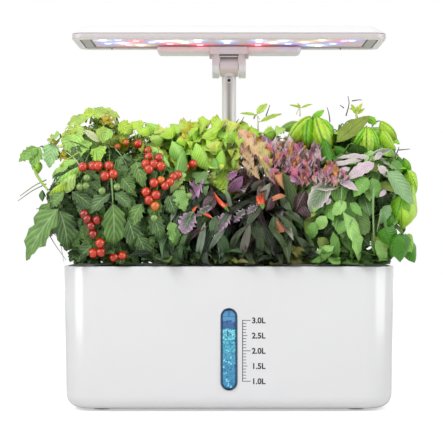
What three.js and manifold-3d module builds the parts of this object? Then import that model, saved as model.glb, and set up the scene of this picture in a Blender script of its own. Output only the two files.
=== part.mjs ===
// A countertop hydroponic garden: a water tank with a level window, a lift-off planting
// deck with a pump, a telescopic post with a tilting grow lamp, and eight planted pods.
// Millimetres, +Z up. The origin lies on the table under the middle of the tank, with +X
// to the right and -Y towards the level window.

import * as THREE from 'three';
import { mergeVertices } from 'three/addons/utils/BufferGeometryUtils.js';
import Module from 'manifold-3d';

const wasm = await Module();
wasm.setup();

// Fits, cutters and facet counts that every sub-part uses
const fit = 0.3;
const overrun = 2;
const weldTolerance = 0.0001;
const roundSides = 20;
const smallSides = 10;
const cornerSteps = 4;
const filletSteps = 3;

// Tank
const tankWidth = 300;
const tankDepth = 145;
const rimHeight = 132;
const footProud = 2;
const tankCornerRadius = 30;
const tankDraft = 2;
const tankWall = 2.5;
const tankFloor = 3;
const tankBottomFillet = 12;
const tankInnerFillet = 8;
const rimFillet = 1;
const rimRecess = 3;
const ledgeWidth = 3.5;
const ledgeHeight = 5;

// Rubber feet
const footRadius = 8;
const footInset = 33;
const footRecess = 1.5;

// Level window, its gasket, and the float that shows the level
const windowWidth = 15.4;
const windowHeight = 74.6;
const windowCentre = 57;
const windowProud = 0.4;
const gasketBand = 1.3;
const lensFlange = 3;
const lensFlangeThickness = 1.2;
const guideWall = 1.5;
const guideDepth = 10;
const guideMargin = 3;
const guideSlotWidth = 4;
const floatHeight = 6;
const floatClearance = 0.5;
const floatLevel = 79;

// Planting deck
const deckThickness = 2.5;
const deckClearance = 0.5;
const columnCount = 4;
const podEndInset = 45;

// Pods
const basketRadius = 17;
const basketBottomRadius = 13;
const basketDepth = 40;
const basketWall = 1.2;
const basketHole = 6;
const basketSlotWidth = 5;
const basketSlotHeight = 22;
const basketSides = 12;
const collarRadius = 20;
const collarHeight = 3.5;
const collarChamfer = 0.8;
const spongeProud = 1;
const podClearance = 0.5;

// Console at the back of the deck, with its board, jack and two buttons
const postInset = 20.5;
const consoleWidth = 124;
const consoleDepth = 29.5;
const consoleInset = 4.5;
const consoleHeight = 12.5;
const consoleWall = 1.8;
const consoleCornerRadius = 6;
const consoleFillet = 1.5;
const boardLeft = 14;
const boardWidth = 44;
const boardDepth = 20;
const boardThickness = 1.6;
const boardStandoff = 2;
const boardBossRadius = 2.5;
const boardBossInset = 4;
const switchRadius = 3;
const firstButtonX = 26;
const buttonPitch = 20;
const buttonRadius = 4.5;
const buttonProud = 1.6;
const buttonFlange = 1.5;
const buttonFlangeThickness = 1;
const buttonTravel = 1;
const jackX = -40;
const jackRadius = 4;
const jackHeight = 7.5;
const jackLength = 12;
const jackBoreRadius = 2.6;
const jackBoreDepth = 8;
const jackPinRadius = 0.8;
const jackProud = 0.6;

// Fill port and its hinged lid
const portEndInset = 45;
const portRearInset = 21.5;
const portWidth = 28;
const portDepth = 20;
const portCornerRadius = 3;
const lidLap = 3;
const lidThickness = 1.8;
const lidPinRadius = 0.8;
const lidBarrelRadius = 2;
const lidBarrelWidth = 16;
const lidLugWidth = 3;
const lidSweep = 34;

// Pump, impeller and riser
const pumpWidth = 46;
const pumpDepth = 34;
const pumpHeight = 36;
const pumpCornerRadius = 4;
const chamberRadius = 13;
const chamberDepth = 13;
const shaftRadius = 1.5;
const shaftLength = 11;
const pumpCoverThickness = 3;
const intakeSlotCount = 5;
const intakeSlotWidth = 2.4;
const intakeSlotHeight = 22;
const impellerRadius = 11.5;
const impellerWidth = 8;
const hubRadius = 4;
const bladeCount = 6;
const bladeThickness = 1.2;
const riserY = -8;
const spigotRadius = 3.5;
const spigotBore = 2.2;
const spigotLength = 8;
const riserWall = 1.4;

// Telescopic post
const outerTubeRadius = 9;
const innerTubeRadius = 7;
const innerTubeWall = 1;
const outerTubeTop = 255;
const innerTubeBottom = 145;
const socketDepth = 22;
const socketWall = 3;
const clampRadius = 12.5;
const clampHeight = 16;
const clampSlot = 1.5;
const thumbScrewRadius = 2;
const thumbScrewHeadRadius = 5;
const thumbScrewHeadLength = 6;
const leadRadius = 1.8;
const setScrewRadius = 1.5;
const setScrewHeadRadius = 2.4;
const setScrewHeadThickness = 1.4;
const setScrewDrop = 4;

// Tilt hinge
const pivotHeight = 324.5;
const barrelRadius = 9.6;
const barrelWidth = 18.2;
const plugLength = 15;
const earThickness = 9;
const earRadius = 11;
const hingePinRadius = 3;
const pinHeadRadius = 5;
const pinHeadThickness = 2;
const bracketDepth = 30;
const bracketGap = 1.5;

// Grow lamp
const lampWidth = 294;
const lampDepth = 100;
const lampCornerRadius = 12;
const bezelBottom = 343;
const bezelHeight = 5;
const bezelBorder = 11.5;
const bezelLip = 3;
const rebateDepth = 2;
const trayThickness = 1.4;
const ledBoardWidth = 262;
const ledBoardDepth = 64;
const ledBoardThickness = 1.6;
const ledSize = 3;
const ledThickness = 0.8;
const ledColumns = 10;
const ledRows = 2;
const lampCoverHeight = 8;
const lampCoverSlope = 11;
const lampCoverWall = 1.8;
const housingWidth = 140;
const housingRearMargin = 3;
const housingSetback = 1;
const housingHeight = 6.2;
const housingWall = 2;
const housingChamfer = 4;
const housingCornerRadius = 5;

// Foliage
const foliageOverhangX = 40;
const foliageOverhangY = 7.5;
const foliageTop = 285;
const leafThickness = 2.4;
const postGap = 5;
const rimGap = 1.5;
const hingeGap = 4;
const hingeClearBelow = 46;

// Heights and places worked out from the sizes above
const tankBottom = footProud;
const floorTop = tankBottom + tankFloor;
const deckTop = rimHeight - rimRecess;
const deckBottom = deckTop - deckThickness;
const spongeTop = spongeProud;
const consoleTop = deckTop + consoleHeight;
const pumpBottom = floorTop + fit;
const pumpTop = pumpBottom + pumpHeight;
const socketBottom = deckBottom - socketDepth;
const postY = tankDepth / 2 - postInset;
const consoleRear = tankDepth / 2 - consoleInset;
const consoleFront = consoleRear - consoleDepth;
const portX = tankWidth / 2 - portEndInset;
const portY = tankDepth / 2 - portRearInset;
const columnPitch = (tankWidth - 2 * podEndInset) / (columnCount - 1);
const lampRear = postY + bracketDepth / 2 + housingRearMargin;
const lampFront = lampRear - lampDepth;
const housingDepth = bracketDepth + housingRearMargin - housingSetback;
const foliageReachX = tankWidth / 2 + foliageOverhangX;
const foliageReachY = tankDepth / 2 + foliageOverhangY;
const lampY = (lampFront + lampRear) / 2;

// The depth that the pods and the console leave free lies before, between and behind the rows
const frontGapShare = 0.41;
const middleGapShare = 0.43;
const deckFront = tankWall + deckClearance - tankDepth / 2;
const freeDepth = consoleFront - deckFront - 4 * collarRadius;
const frontRowY = deckFront + frontGapShare * freeDepth + collarRadius;
const rowPitch = 2 * collarRadius + middleGapShare * freeDepth;
const rowBoundaryY = frontRowY + rowPitch / 2;

const quarterTurn = Math.PI / 2;
const fullTurn = Math.PI * 2;
const leafTurn = Math.PI * (3 - Math.sqrt(5));

// Materials, one for each finish
function finish(color, roughness, metalness = 0) {
  return { color, roughness, metalness };
}
const finishes = {
  whiteGloss: finish(0xe9eaec, 0.22),
  greyDeck: finish(0x8f9294, 0.45),
  greyPod: finish(0xa4a6a8, 0.5),
  sponge: finish(0x4a3b2e, 0.95),
  rubber: finish(0x2b2b2d, 0.8),
  navyRubber: finish(0x1d2f7a, 0.6),
  blueWindow: finish(0x3f86dd, 0.1),
  floatBlue: finish(0x1b4fb5, 0.4),
  darkPlastic: finish(0x33363a, 0.5),
  circuitGreen: finish(0x2f6b45, 0.6),
  silver: finish(0xb8babd, 0.3, 1),
  steel: finish(0x8f9296, 0.35, 1),
  lampShell: finish(0xd8cfce, 0.35),
  lampMetal: finish(0xb9aeae, 0.45, 0.6),
  ledBoard: finish(0xf0ecf2, 0.4),
  tomatoLeaf: finish(0x3f7a2a, 0.6),
  paleLettuce: finish(0xb9cf4d, 0.6),
  redLettuce: finish(0x8a2f45, 0.6),
  pepperLeaf: finish(0x24521f, 0.45),
  purpleLeaf: finish(0x6a3a5c, 0.6),
  basilLeaf: finish(0x4f9a30, 0.45),
  variegatedLeaf: finish(0xd9b3b8, 0.6),
  mintLeaf: finish(0x357a33, 0.6),
};

// From three.js geometry to a solid, and back
function solid(geometry) {
  const bare = geometry.clone();
  bare.deleteAttribute('normal');
  bare.deleteAttribute('uv');
  const merged = mergeVertices(bare, weldTolerance);
  const index = merged.index.array;
  const triangles = [];
  for (let i = 0; i < index.length; i += 3) {
    const [a, b, c] = [index[i], index[i + 1], index[i + 2]];
    if (a !== b && b !== c && c !== a) triangles.push(a, b, c);
  }
  return new wasm.Manifold(new wasm.Mesh({
    numProp: 3,
    vertProperties: new Float32Array(merged.attributes.position.array),
    triVerts: new Uint32Array(triangles),
  }));
}

function geometryOf(body) {
  const mesh = body.getMesh();
  const geometry = new THREE.BufferGeometry();
  geometry.setAttribute('position', new THREE.BufferAttribute(mesh.vertProperties, 3));
  geometry.setIndex(new THREE.BufferAttribute(mesh.triVerts, 1));
  geometry.computeVertexNormals();
  return geometry;
}

function join(first, ...others) {
  return others.reduce((body, geometry) => body.add(solid(geometry)), solid(first));
}

function cut(body, ...cutters) {
  return cutters.reduce((left, geometry) => left.subtract(solid(geometry)), body);
}

function largestBody(body) {
  return body.decompose().reduce((best, next) => (next.volume() > best.volume() ? next : best));
}

// Plain shapes: each takes the places of its faces, so neighbours share the same values
function block(left, right, front, rear, bottom, top) {
  const box = new THREE.BoxGeometry(right - left, rear - front, top - bottom);
  return box.translate((left + right) / 2, (front + rear) / 2, (bottom + top) / 2);
}

function upright(radius, bottom, top, sides = roundSides, topRadius = radius) {
  const cylinder = new THREE.CylinderGeometry(topRadius, radius, top - bottom, sides);
  return cylinder.rotateX(quarterTurn).translate(0, 0, (bottom + top) / 2);
}

function crosswise(radius, left, right, sides = roundSides) {
  const cylinder = new THREE.CylinderGeometry(radius, radius, right - left, sides);
  return cylinder.rotateZ(quarterTurn).translate((left + right) / 2, 0, 0);
}

function lengthwise(radius, front, rear, sides = roundSides) {
  const cylinder = new THREE.CylinderGeometry(radius, radius, rear - front, sides);
  return cylinder.translate(0, (front + rear) / 2, 0);
}

function turned(points, sides) {
  const closed = [...points, points[0]].map(([radius, height]) => new THREE.Vector2(radius, height));
  return new THREE.LatheGeometry(closed, sides).rotateX(quarterTurn);
}

function pipe(outerRadius, innerRadius, bottom, top, sides = roundSides) {
  const corners = [[innerRadius, bottom], [outerRadius, bottom], [outerRadius, top], [innerRadius, top]];
  return turned(corners, sides);
}

// One ring of points round a rectangle with round corners
function roundedRing(halfWidth, halfDepth, radius, height, centreX = 0, centreY = 0) {
  const ring = [];
  const signs = [[1, 1], [-1, 1], [-1, -1], [1, -1]];
  signs.forEach(([signX, signY], quarter) => {
    for (let step = 0; step <= cornerSteps; step += 1) {
      const angle = (quarter + step / cornerSteps) * quarterTurn;
      ring.push([
        centreX + signX * (halfWidth - radius) + radius * Math.cos(angle),
        centreY + signY * (halfDepth - radius) + radius * Math.sin(angle),
        height,
      ]);
    }
  });
  return ring;
}

// A closed skin through rings with equal counts of points, with flat ends
function loft(rings) {
  const count = rings[0].length;
  const index = [];
  for (let ring = 0; ring < rings.length - 1; ring += 1) {
    for (let i = 0; i < count; i += 1) {
      const a = ring * count + i;
      const b = ring * count + (i + 1) % count;
      index.push(a, b, b + count, a, b + count, a + count);
    }
  }
  const top = (rings.length - 1) * count;
  for (let i = 1; i < count - 1; i += 1) {
    index.push(0, i + 1, i, top, top + i, top + i + 1);
  }
  const geometry = new THREE.BufferGeometry();
  geometry.setAttribute('position', new THREE.Float32BufferAttribute(rings.flat(2), 3));
  geometry.setIndex(index);
  return geometry;
}

function roundedBlock(halfWidth, halfDepth, radius, bottom, top, centreX = 0, centreY = 0) {
  return loft([bottom, top].map((height) => (
    roundedRing(halfWidth, halfDepth, radius, height, centreX, centreY))));
}

// A capsule outline in the front wall, drawn between two distances in front of the origin
function frontCapsule(halfWidth, halfHeight, back, face) {
  const drawn = roundedBlock(halfWidth, halfHeight, halfWidth, back, face);
  return drawn.rotateX(quarterTurn).translate(0, 0, windowCentre);
}

function piece(name, shape, look) {
  const geometry = shape.isBufferGeometry ? geometryOf(solid(shape)) : geometryOf(shape);
  const mesh = new THREE.Mesh(geometry, new THREE.MeshStandardMaterial(finishes[look]));
  mesh.name = name;
  return mesh;
}

function placed(object, x, y, z) {
  object.position.set(x, y, z);
  return object;
}

// Tank: a drafted shell with a ledge for the deck, a window slot and recesses for the feet
function tankInset(height) {
  return tankDraft * (rimHeight - height) / (rimHeight - tankBottom);
}

function tankRing(height, inset) {
  const total = tankInset(height) + inset;
  return roundedRing(tankWidth / 2 - total, tankDepth / 2 - total, tankCornerRadius - inset, height);
}

function footPlaces() {
  const x = tankWidth / 2 - footInset;
  const y = tankDepth / 2 - footInset;
  return [['front_left', -x, -y], ['front_right', x, -y], ['rear_left', -x, y], ['rear_right', x, y]];
}

function tankShell() {
  const outside = [];
  for (let step = 0; step <= filletSteps; step += 1) {
    const angle = step / filletSteps * quarterTurn;
    const inset = tankBottomFillet * (1 - Math.sin(angle));
    outside.push(tankRing(tankBottom + tankBottomFillet * (1 - Math.cos(angle)), inset));
  }
  outside.push(tankRing(rimHeight - rimFillet, 0), tankRing(rimHeight, rimFillet));
  const ledgeBottom = deckBottom - ledgeHeight;
  const inside = [
    tankRing(floorTop, tankWall + tankInnerFillet),
    tankRing(floorTop + tankInnerFillet, tankWall),
    tankRing(ledgeBottom - ledgeWidth, tankWall),
    tankRing(ledgeBottom, tankWall + ledgeWidth),
    tankRing(deckBottom - fit, tankWall + ledgeWidth),
    tankRing(deckBottom - fit, tankWall),
    tankRing(rimHeight + overrun, tankWall),
  ];
  const slotBack = tankDepth / 2 - tankDraft - tankWall - overrun;
  const slot = frontCapsule(windowWidth / 2, windowHeight / 2, slotBack, tankDepth / 2 + overrun);
  const recesses = footPlaces().map(([, x, y]) => (
    upright(footRadius + fit, -overrun, tankBottom + footRecess).translate(x, y, 0)));
  return cut(solid(loft(outside)), loft(inside), slot, ...recesses);
}

function feet() {
  const shape = () => upright(footRadius, 0, tankBottom + footRecess - fit);
  return footPlaces().map(([place, x, y]) => placed(piece(`foot_${place}`, shape(), 'rubber'), x, y, 0));
}

// Level window: a gasket in the slot, a lens in the gasket with a flange behind the wall,
// and a channel in which the level float slides
const windowTop = windowCentre + windowHeight / 2;
const windowBottom = windowCentre - windowHeight / 2;
const windowFace = tankDepth / 2 - tankInset(windowTop) + windowProud;
const gasketBack = tankDepth / 2 - tankInset(windowBottom - lensFlange) - tankWall - fit;
const flangeFace = gasketBack - fit;
const flangeBack = flangeFace - lensFlangeThickness;
const guideFace = flangeBack - fit;
const guideHalfWidth = windowWidth / 2 + lensFlange;

function windowGasket() {
  const outerHalf = windowWidth / 2 - fit;
  const outer = frontCapsule(outerHalf, windowHeight / 2 - fit, gasketBack, windowFace);
  const innerHalf = outerHalf - gasketBand;
  const innerHeight = windowHeight / 2 - fit - gasketBand;
  return cut(solid(outer), frontCapsule(innerHalf, innerHeight, gasketBack - overrun, windowFace + overrun));
}

function windowLens() {
  const inset = 2 * fit + gasketBand;
  const pane = frontCapsule(windowWidth / 2 - inset, windowHeight / 2 - inset, flangeBack, windowFace - fit);
  const flange = frontCapsule(guideHalfWidth, windowHeight / 2 + lensFlange, flangeBack, flangeFace);
  return join(pane, flange);
}

function floatGuide() {
  const bottom = windowBottom - guideMargin;
  const top = windowTop + guideMargin;
  const back = -guideFace + guideDepth;
  const shell = block(-guideHalfWidth, guideHalfWidth, -guideFace, back, bottom, top);
  const inner = guideHalfWidth - guideWall;
  const channel = block(-inner, inner, -guideFace - overrun, back - guideWall,
    bottom + guideWall, top - guideWall);
  const slotHalf = guideSlotWidth / 2;
  const slot = block(-slotHalf, slotHalf, back - guideWall - overrun, back + overrun,
    bottom + guideMargin, top - guideMargin);
  return cut(solid(shell), channel, slot);
}

function levelFloat() {
  const half = guideHalfWidth - guideWall - floatClearance;
  const depth = guideDepth - guideWall - 2 * floatClearance;
  return block(-half, half, 0, depth, -floatHeight / 2, floatHeight / 2);
}

// Planting deck: a plate with pod holes, the post socket, the riser spigot, the fill port
// with its lid lugs, and bosses for the control board
function podPlaces() {
  const places = [];
  for (let row = 0; row < 2; row += 1) {
    for (let column = 0; column < columnCount; column += 1) {
      const x = (column - (columnCount - 1) / 2) * columnPitch;
      places.push({ row, column, x, y: frontRowY + row * rowPitch });
    }
  }
  return places;
}

const lidHingeGap = lidBarrelRadius + fit;
const lidHinge = { y: portY + portDepth / 2 + lidLap + lidHingeGap, z: deckTop + lidHingeGap };
const boardY = (consoleFront + consoleRear) / 2;
const boardBottom = deckTop + boardStandoff;

function lidLug(side) {
  const inner = lidBarrelWidth / 2 + fit;
  const [left, right] = side < 0 ? [-inner - lidLugWidth, -inner] : [inner, inner + lidLugWidth];
  const round = crosswise(lidBarrelRadius, left, right, smallSides).translate(0, lidHinge.y, lidHinge.z);
  const stand = block(left, right, lidHinge.y - lidBarrelRadius, lidHinge.y + lidBarrelRadius,
    deckBottom, lidHinge.z);
  return [round.translate(portX, 0, 0), stand.translate(portX, 0, 0)];
}

function boardBosses() {
  const rightmost = boardLeft + boardWidth - boardBossInset;
  const reach = boardDepth / 2 - boardBossInset;
  const places = [[boardLeft + boardBossInset, boardY - reach], [rightmost, boardY + reach]];
  return places.map(([x, y]) => (
    upright(boardBossRadius, deckBottom, boardBottom - fit, smallSides).translate(x, y, 0)));
}

function deckPlate() {
  const rings = [deckBottom, deckTop].map((height) => {
    const inset = tankInset(deckBottom) + tankWall + deckClearance;
    return roundedRing(tankWidth / 2 - inset, tankDepth / 2 - inset, tankCornerRadius - inset, height);
  });
  const socket = upright(outerTubeRadius + socketWall, socketBottom, deckTop).translate(0, postY, 0);
  const spigot = upright(spigotRadius, deckBottom - spigotLength, deckTop, smallSides);
  spigot.translate(0, riserY, 0);
  const body = join(loft(rings), socket, spigot, ...lidLug(-1), ...lidLug(1), ...boardBosses());
  const podHoles = podPlaces().map(({ x, y }) => (
    upright(basketRadius + podClearance, deckBottom - overrun, deckTop + overrun, basketSides)
      .translate(x, y, 0)));
  const postBore = upright(outerTubeRadius + fit, socketBottom + socketWall, deckTop + overrun);
  const spigotHole = upright(spigotBore, deckBottom - spigotLength - overrun, deckTop + overrun, smallSides);
  const port = roundedBlock(portWidth / 2, portDepth / 2, portCornerRadius,
    deckBottom - overrun, deckTop + overrun, portX, portY);
  const pinBore = crosswise(lidPinRadius + fit, -lidBarrelWidth, lidBarrelWidth, smallSides);
  return cut(body, ...podHoles, postBore.translate(0, postY, 0), spigotHole.translate(0, riserY, 0), port,
    pinBore.translate(portX, lidHinge.y, lidHinge.z));
}

// Fill lid, drawn about its hinge pin
function fillLid() {
  const plateBottom = deckTop + fit - lidHinge.z;
  const rear = -lidHingeGap;
  const halfWidth = portWidth / 2 + lidLap;
  const plateDepth = portDepth + 2 * lidLap;
  const plate = roundedBlock(halfWidth, plateDepth / 2, portCornerRadius, plateBottom,
    plateBottom + lidThickness, 0, rear - plateDepth / 2);
  const barrelHalf = lidBarrelWidth / 2;
  const barrel = crosswise(lidBarrelRadius, -barrelHalf, barrelHalf, smallSides);
  const neck = block(-barrelHalf, barrelHalf, rear - lidLap, 0, plateBottom, plateBottom + lidThickness);
  const bore = crosswise(lidPinRadius + fit, -lidBarrelWidth, lidBarrelWidth, smallSides);
  return cut(join(plate, barrel, neck), bore);
}

function lidPin() {
  const half = lidBarrelWidth / 2 + fit + lidLugWidth;
  return crosswise(lidPinRadius, -half, half, smallSides);
}

// Console: an open-bottomed cover over the board, with a bore for the post
const consoleHalf = consoleWidth / 2;
const consoleY = (consoleFront + consoleRear) / 2;
const consoleHalfDepth = (consoleRear - consoleFront) / 2;
const buttonPlaces = [['button_light', firstButtonX], ['button_pump', firstButtonX + buttonPitch]];

function consoleCover() {
  const ring = (inset, height) => roundedRing(consoleHalf - inset, consoleHalfDepth - inset,
    consoleCornerRadius - inset, height, 0, consoleY);
  const outside = loft([
    ring(0, deckTop + fit),
    ring(0, consoleTop - consoleFillet),
    ring(consoleFillet, consoleTop),
  ]);
  const inside = loft([ring(consoleWall, deckTop - overrun), ring(consoleWall, consoleTop - consoleWall)]);
  const postBore = upright(outerTubeRadius + fit, deckTop, consoleTop + overrun).translate(0, postY, 0);
  const buttonBores = buttonPlaces.map(([, x]) => (
    upright(buttonRadius + fit, deckTop, consoleTop + overrun, smallSides).translate(x, consoleY, 0)));
  const jackBore = lengthwise(jackRadius + fit, consoleY, consoleRear + overrun, smallSides);
  jackBore.translate(jackX, 0, deckTop + jackHeight);
  return cut(solid(outside), inside, postBore, ...buttonBores, jackBore);
}

const flangeTop = consoleTop - consoleWall - fit;
const flangeBottom = flangeTop - buttonFlangeThickness;
const switchTop = flangeBottom - buttonTravel - fit;

function controlBoard() {
  const halfDepth = boardDepth / 2;
  const boardTop = boardBottom + boardThickness;
  const sheet = block(boardLeft, boardLeft + boardWidth, boardY - halfDepth, boardY + halfDepth,
    boardBottom, boardTop);
  const switches = buttonPlaces.map(([, x]) => (
    upright(switchRadius, boardBottom, switchTop, smallSides).translate(x, boardY, 0)));
  return join(sheet, ...switches);
}

function consoleButton() {
  const cap = upright(buttonRadius, flangeBottom, consoleTop + buttonProud, smallSides);
  const flange = upright(buttonRadius + buttonFlange, flangeBottom, flangeTop, smallSides);
  return join(cap, flange);
}

function powerJack() {
  const front = consoleRear - jackLength;
  const rear = consoleRear + jackProud;
  const bore = lengthwise(jackBoreRadius, rear - jackBoreDepth, rear + overrun, smallSides);
  const pin = lengthwise(jackPinRadius, front + overrun, rear - jackProud, smallSides);
  return cut(solid(lengthwise(jackRadius, front, rear, smallSides)), bore).add(solid(pin));
}

// Pump under the deck: a body with a front chamber, a slotted cover, an impeller on a
// fixed shaft, and a riser pipe pushed over the spigots of pump and deck
const chamberHeight = pumpHeight / 2;
const pumpFront = riserY - chamberDepth / 2;
const pumpRear = pumpFront + pumpDepth;

function pumpBody() {
  const housing = roundedBlock(pumpWidth / 2, pumpDepth / 2, pumpCornerRadius, 0, pumpHeight,
    0, (pumpFront + pumpRear) / 2);
  const spigot = upright(spigotRadius, chamberHeight, pumpHeight + spigotLength, smallSides);
  const body = join(housing, spigot.translate(0, riserY, 0));
  const chamber = lengthwise(chamberRadius, pumpFront - overrun, pumpFront + chamberDepth);
  const outlet = upright(spigotBore, chamberHeight, pumpHeight + spigotLength + overrun, smallSides);
  const shaftRear = pumpFront + chamberDepth + overrun;
  const shaft = lengthwise(shaftRadius, pumpFront + chamberDepth - shaftLength, shaftRear, smallSides);
  const hollow = cut(body, chamber.translate(0, 0, chamberHeight), outlet.translate(0, riserY, 0));
  return hollow.add(solid(shaft.translate(0, 0, chamberHeight)));
}

function pumpCover() {
  const rear = pumpFront - fit;
  const front = rear - pumpCoverThickness;
  const plate = block(-pumpWidth / 2, pumpWidth / 2, front, rear, 0, pumpHeight);
  const slots = [];
  for (let slot = 0; slot < intakeSlotCount; slot += 1) {
    const x = (slot - (intakeSlotCount - 1) / 2) * intakeSlotWidth * 2;
    slots.push(block(x - intakeSlotWidth / 2, x + intakeSlotWidth / 2, front - overrun, rear + overrun,
      chamberHeight - intakeSlotHeight / 2, chamberHeight + intakeSlotHeight / 2));
  }
  return cut(solid(plate), ...slots);
}

function impeller() {
  const half = impellerWidth / 2;
  const blades = [];
  for (let blade = 0; blade < bladeCount; blade += 1) {
    const shape = block(0, impellerRadius, -half, half, -bladeThickness / 2, bladeThickness / 2);
    blades.push(shape.rotateY(blade / bladeCount * fullTurn));
  }
  const hub = lengthwise(hubRadius, -half, half, smallSides);
  return cut(join(hub, ...blades), lengthwise(shaftRadius + fit, -impellerWidth, impellerWidth, smallSides));
}

function riserPipe() {
  const bore = spigotRadius + fit;
  return pipe(bore + riserWall, bore, pumpTop + fit, deckBottom - fit, smallSides);
}

// Post: the outer tube stands in the deck's socket, the inner tube slides in it
function heightClamp() {
  const bottom = outerTubeTop - clampHeight;
  const ring = turned([
    [outerTubeRadius + fit, bottom],
    [clampRadius, bottom],
    [clampRadius, outerTubeTop],
    [clampRadius - clampSlot, outerTubeTop + clampSlot],
    [innerTubeRadius + fit, outerTubeTop + clampSlot],
    [innerTubeRadius + fit, outerTubeTop + fit],
    [outerTubeRadius + fit, outerTubeTop + fit],
  ], roundSides);
  const screwHole = lengthwise(thumbScrewRadius + fit, innerTubeRadius, clampRadius + overrun, smallSides);
  return cut(solid(ring), screwHole.translate(0, 0, outerTubeTop - clampHeight / 2));
}

function thumbScrew() {
  const tip = outerTubeRadius + fit;
  const headFront = clampRadius + fit;
  const shank = lengthwise(thumbScrewRadius, tip, headFront + overrun, smallSides);
  const head = lengthwise(thumbScrewHeadRadius, headFront, headFront + thumbScrewHeadLength, smallSides);
  return join(shank, head);
}

const innerTubeTop = pivotHeight - barrelRadius - fit;
const setScrewHeight = innerTubeTop - setScrewDrop;

function innerTube() {
  const inner = innerTubeRadius - innerTubeWall;
  const tube = pipe(innerTubeRadius, inner, innerTubeBottom, innerTubeTop);
  const hole = lengthwise(setScrewRadius + fit, -innerTubeRadius - overrun, 0, smallSides);
  return cut(solid(tube), hole.translate(0, 0, setScrewHeight));
}

// Hinge head, drawn about the tilt axis
function hingeHead() {
  const half = barrelWidth / 2;
  const barrel = crosswise(barrelRadius, -half, half);
  const neck = upright(innerTubeRadius, innerTubeTop + fit - pivotHeight, 0);
  const plugRadius = innerTubeRadius - innerTubeWall - fit;
  const plug = upright(plugRadius, innerTubeTop - plugLength - pivotHeight, 0);
  const pinBore = crosswise(hingePinRadius + fit, -barrelWidth, barrelWidth);
  const screwHole = lengthwise(setScrewRadius + fit, -innerTubeRadius - overrun, 0, smallSides);
  return cut(join(barrel, neck, plug), pinBore, screwHole.translate(0, 0, setScrewHeight - pivotHeight));
}

function setScrew() {
  const seat = -innerTubeRadius - fit;
  const shank = lengthwise(setScrewRadius, seat - setScrewHeadThickness, -fit, smallSides);
  const head = lengthwise(setScrewHeadRadius, seat - setScrewHeadThickness, seat, smallSides);
  return join(shank, head);
}

function lampLead() {
  const top = innerTubeTop - plugLength - fit;
  return upright(leadRadius, innerTubeBottom + fit, top, smallSides);
}

// Hinge bracket, drawn about the tilt axis: a block against the bezel with two round ears
const bracketHalf = barrelWidth / 2 + fit + earThickness;
const bracketBottom = barrelRadius + bracketGap;
const bracketTop = bezelBottom - fit - pivotHeight;
const bracketFront = -bracketDepth / 2;

function hingeBracket() {
  const base = block(-bracketHalf, bracketHalf, bracketFront, bracketDepth / 2, bracketBottom, bracketTop);
  const ears = [-1, 1].flatMap((side) => {
    const inner = barrelWidth / 2 + fit;
    const [left, right] = side < 0 ? [-bracketHalf, -inner] : [inner, bracketHalf];
    return [crosswise(earRadius, left, right), block(left, right, -earRadius, earRadius, 0, bracketTop)];
  });
  const pinBore = crosswise(hingePinRadius + fit, -bracketHalf - overrun, bracketHalf + overrun);
  return cut(join(base, ...ears), pinBore);
}

function hingePin() {
  const left = -bracketHalf - fit;
  const right = bracketHalf + fit + pinHeadThickness;
  const head = crosswise(pinHeadRadius, left - pinHeadThickness, left, smallSides);
  return join(crosswise(hingePinRadius, left - pinHeadThickness, right, smallSides), head);
}

function hingeNut() {
  const left = bracketHalf + fit;
  const ring = crosswise(pinHeadRadius, left, left + pinHeadThickness, 6);
  return cut(solid(ring), crosswise(hingePinRadius + fit, left - overrun, left + pinHeadThickness + overrun));
}

// Lamp, in its own frame: z is zero at the bottom of the bezel, y is zero at mid depth
const trayBottom = bezelHeight - rebateDepth + fit;
const ledBoardTop = trayBottom - fit;
const coverBottom = bezelHeight + fit;

function lampRing(inset, height) {
  const radius = Math.max(lampCornerRadius - inset, fit);
  return roundedRing(lampWidth / 2 - inset, lampDepth / 2 - inset, radius, height);
}

function lampBezel() {
  const outside = loft([lampRing(0, 0), lampRing(0, bezelHeight)]);
  const window = loft([lampRing(bezelBorder, -overrun), lampRing(bezelBorder, bezelHeight + overrun)]);
  const rebate = loft([
    lampRing(bezelLip, bezelHeight - rebateDepth),
    lampRing(bezelLip, bezelHeight + overrun),
  ]);
  return cut(solid(outside), window, rebate);
}

function lampTray() {
  const inset = bezelLip + fit;
  return loft([lampRing(inset, trayBottom), lampRing(inset, trayBottom + trayThickness)]);
}

function ledBoard() {
  const bottom = ledBoardTop - ledBoardThickness;
  const sheet = block(-ledBoardWidth / 2, ledBoardWidth / 2, -ledBoardDepth / 2, ledBoardDepth / 2,
    bottom, ledBoardTop);
  const chips = [];
  for (let row = 0; row < ledRows; row += 1) {
    for (let column = 0; column < ledColumns; column += 1) {
      const x = (column + 0.5 - ledColumns / 2) * ledBoardWidth / ledColumns;
      const y = (row + 0.5 - ledRows / 2) * ledBoardDepth / ledRows;
      const half = ledSize / 2;
      chips.push(block(x - half, x + half, y - half, y + half, bottom - ledThickness, bottom + fit));
    }
  }
  return join(sheet, ...chips);
}

function lampCover() {
  const top = coverBottom + lampCoverHeight;
  const outside = loft([lampRing(0, coverBottom), lampRing(lampCoverSlope, top)]);
  const inside = loft([
    lampRing(lampCoverWall, coverBottom - overrun),
    lampRing(lampCoverWall, coverBottom),
    lampRing(lampCoverSlope, top - lampCoverWall),
  ]);
  return cut(solid(outside), inside);
}

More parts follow.
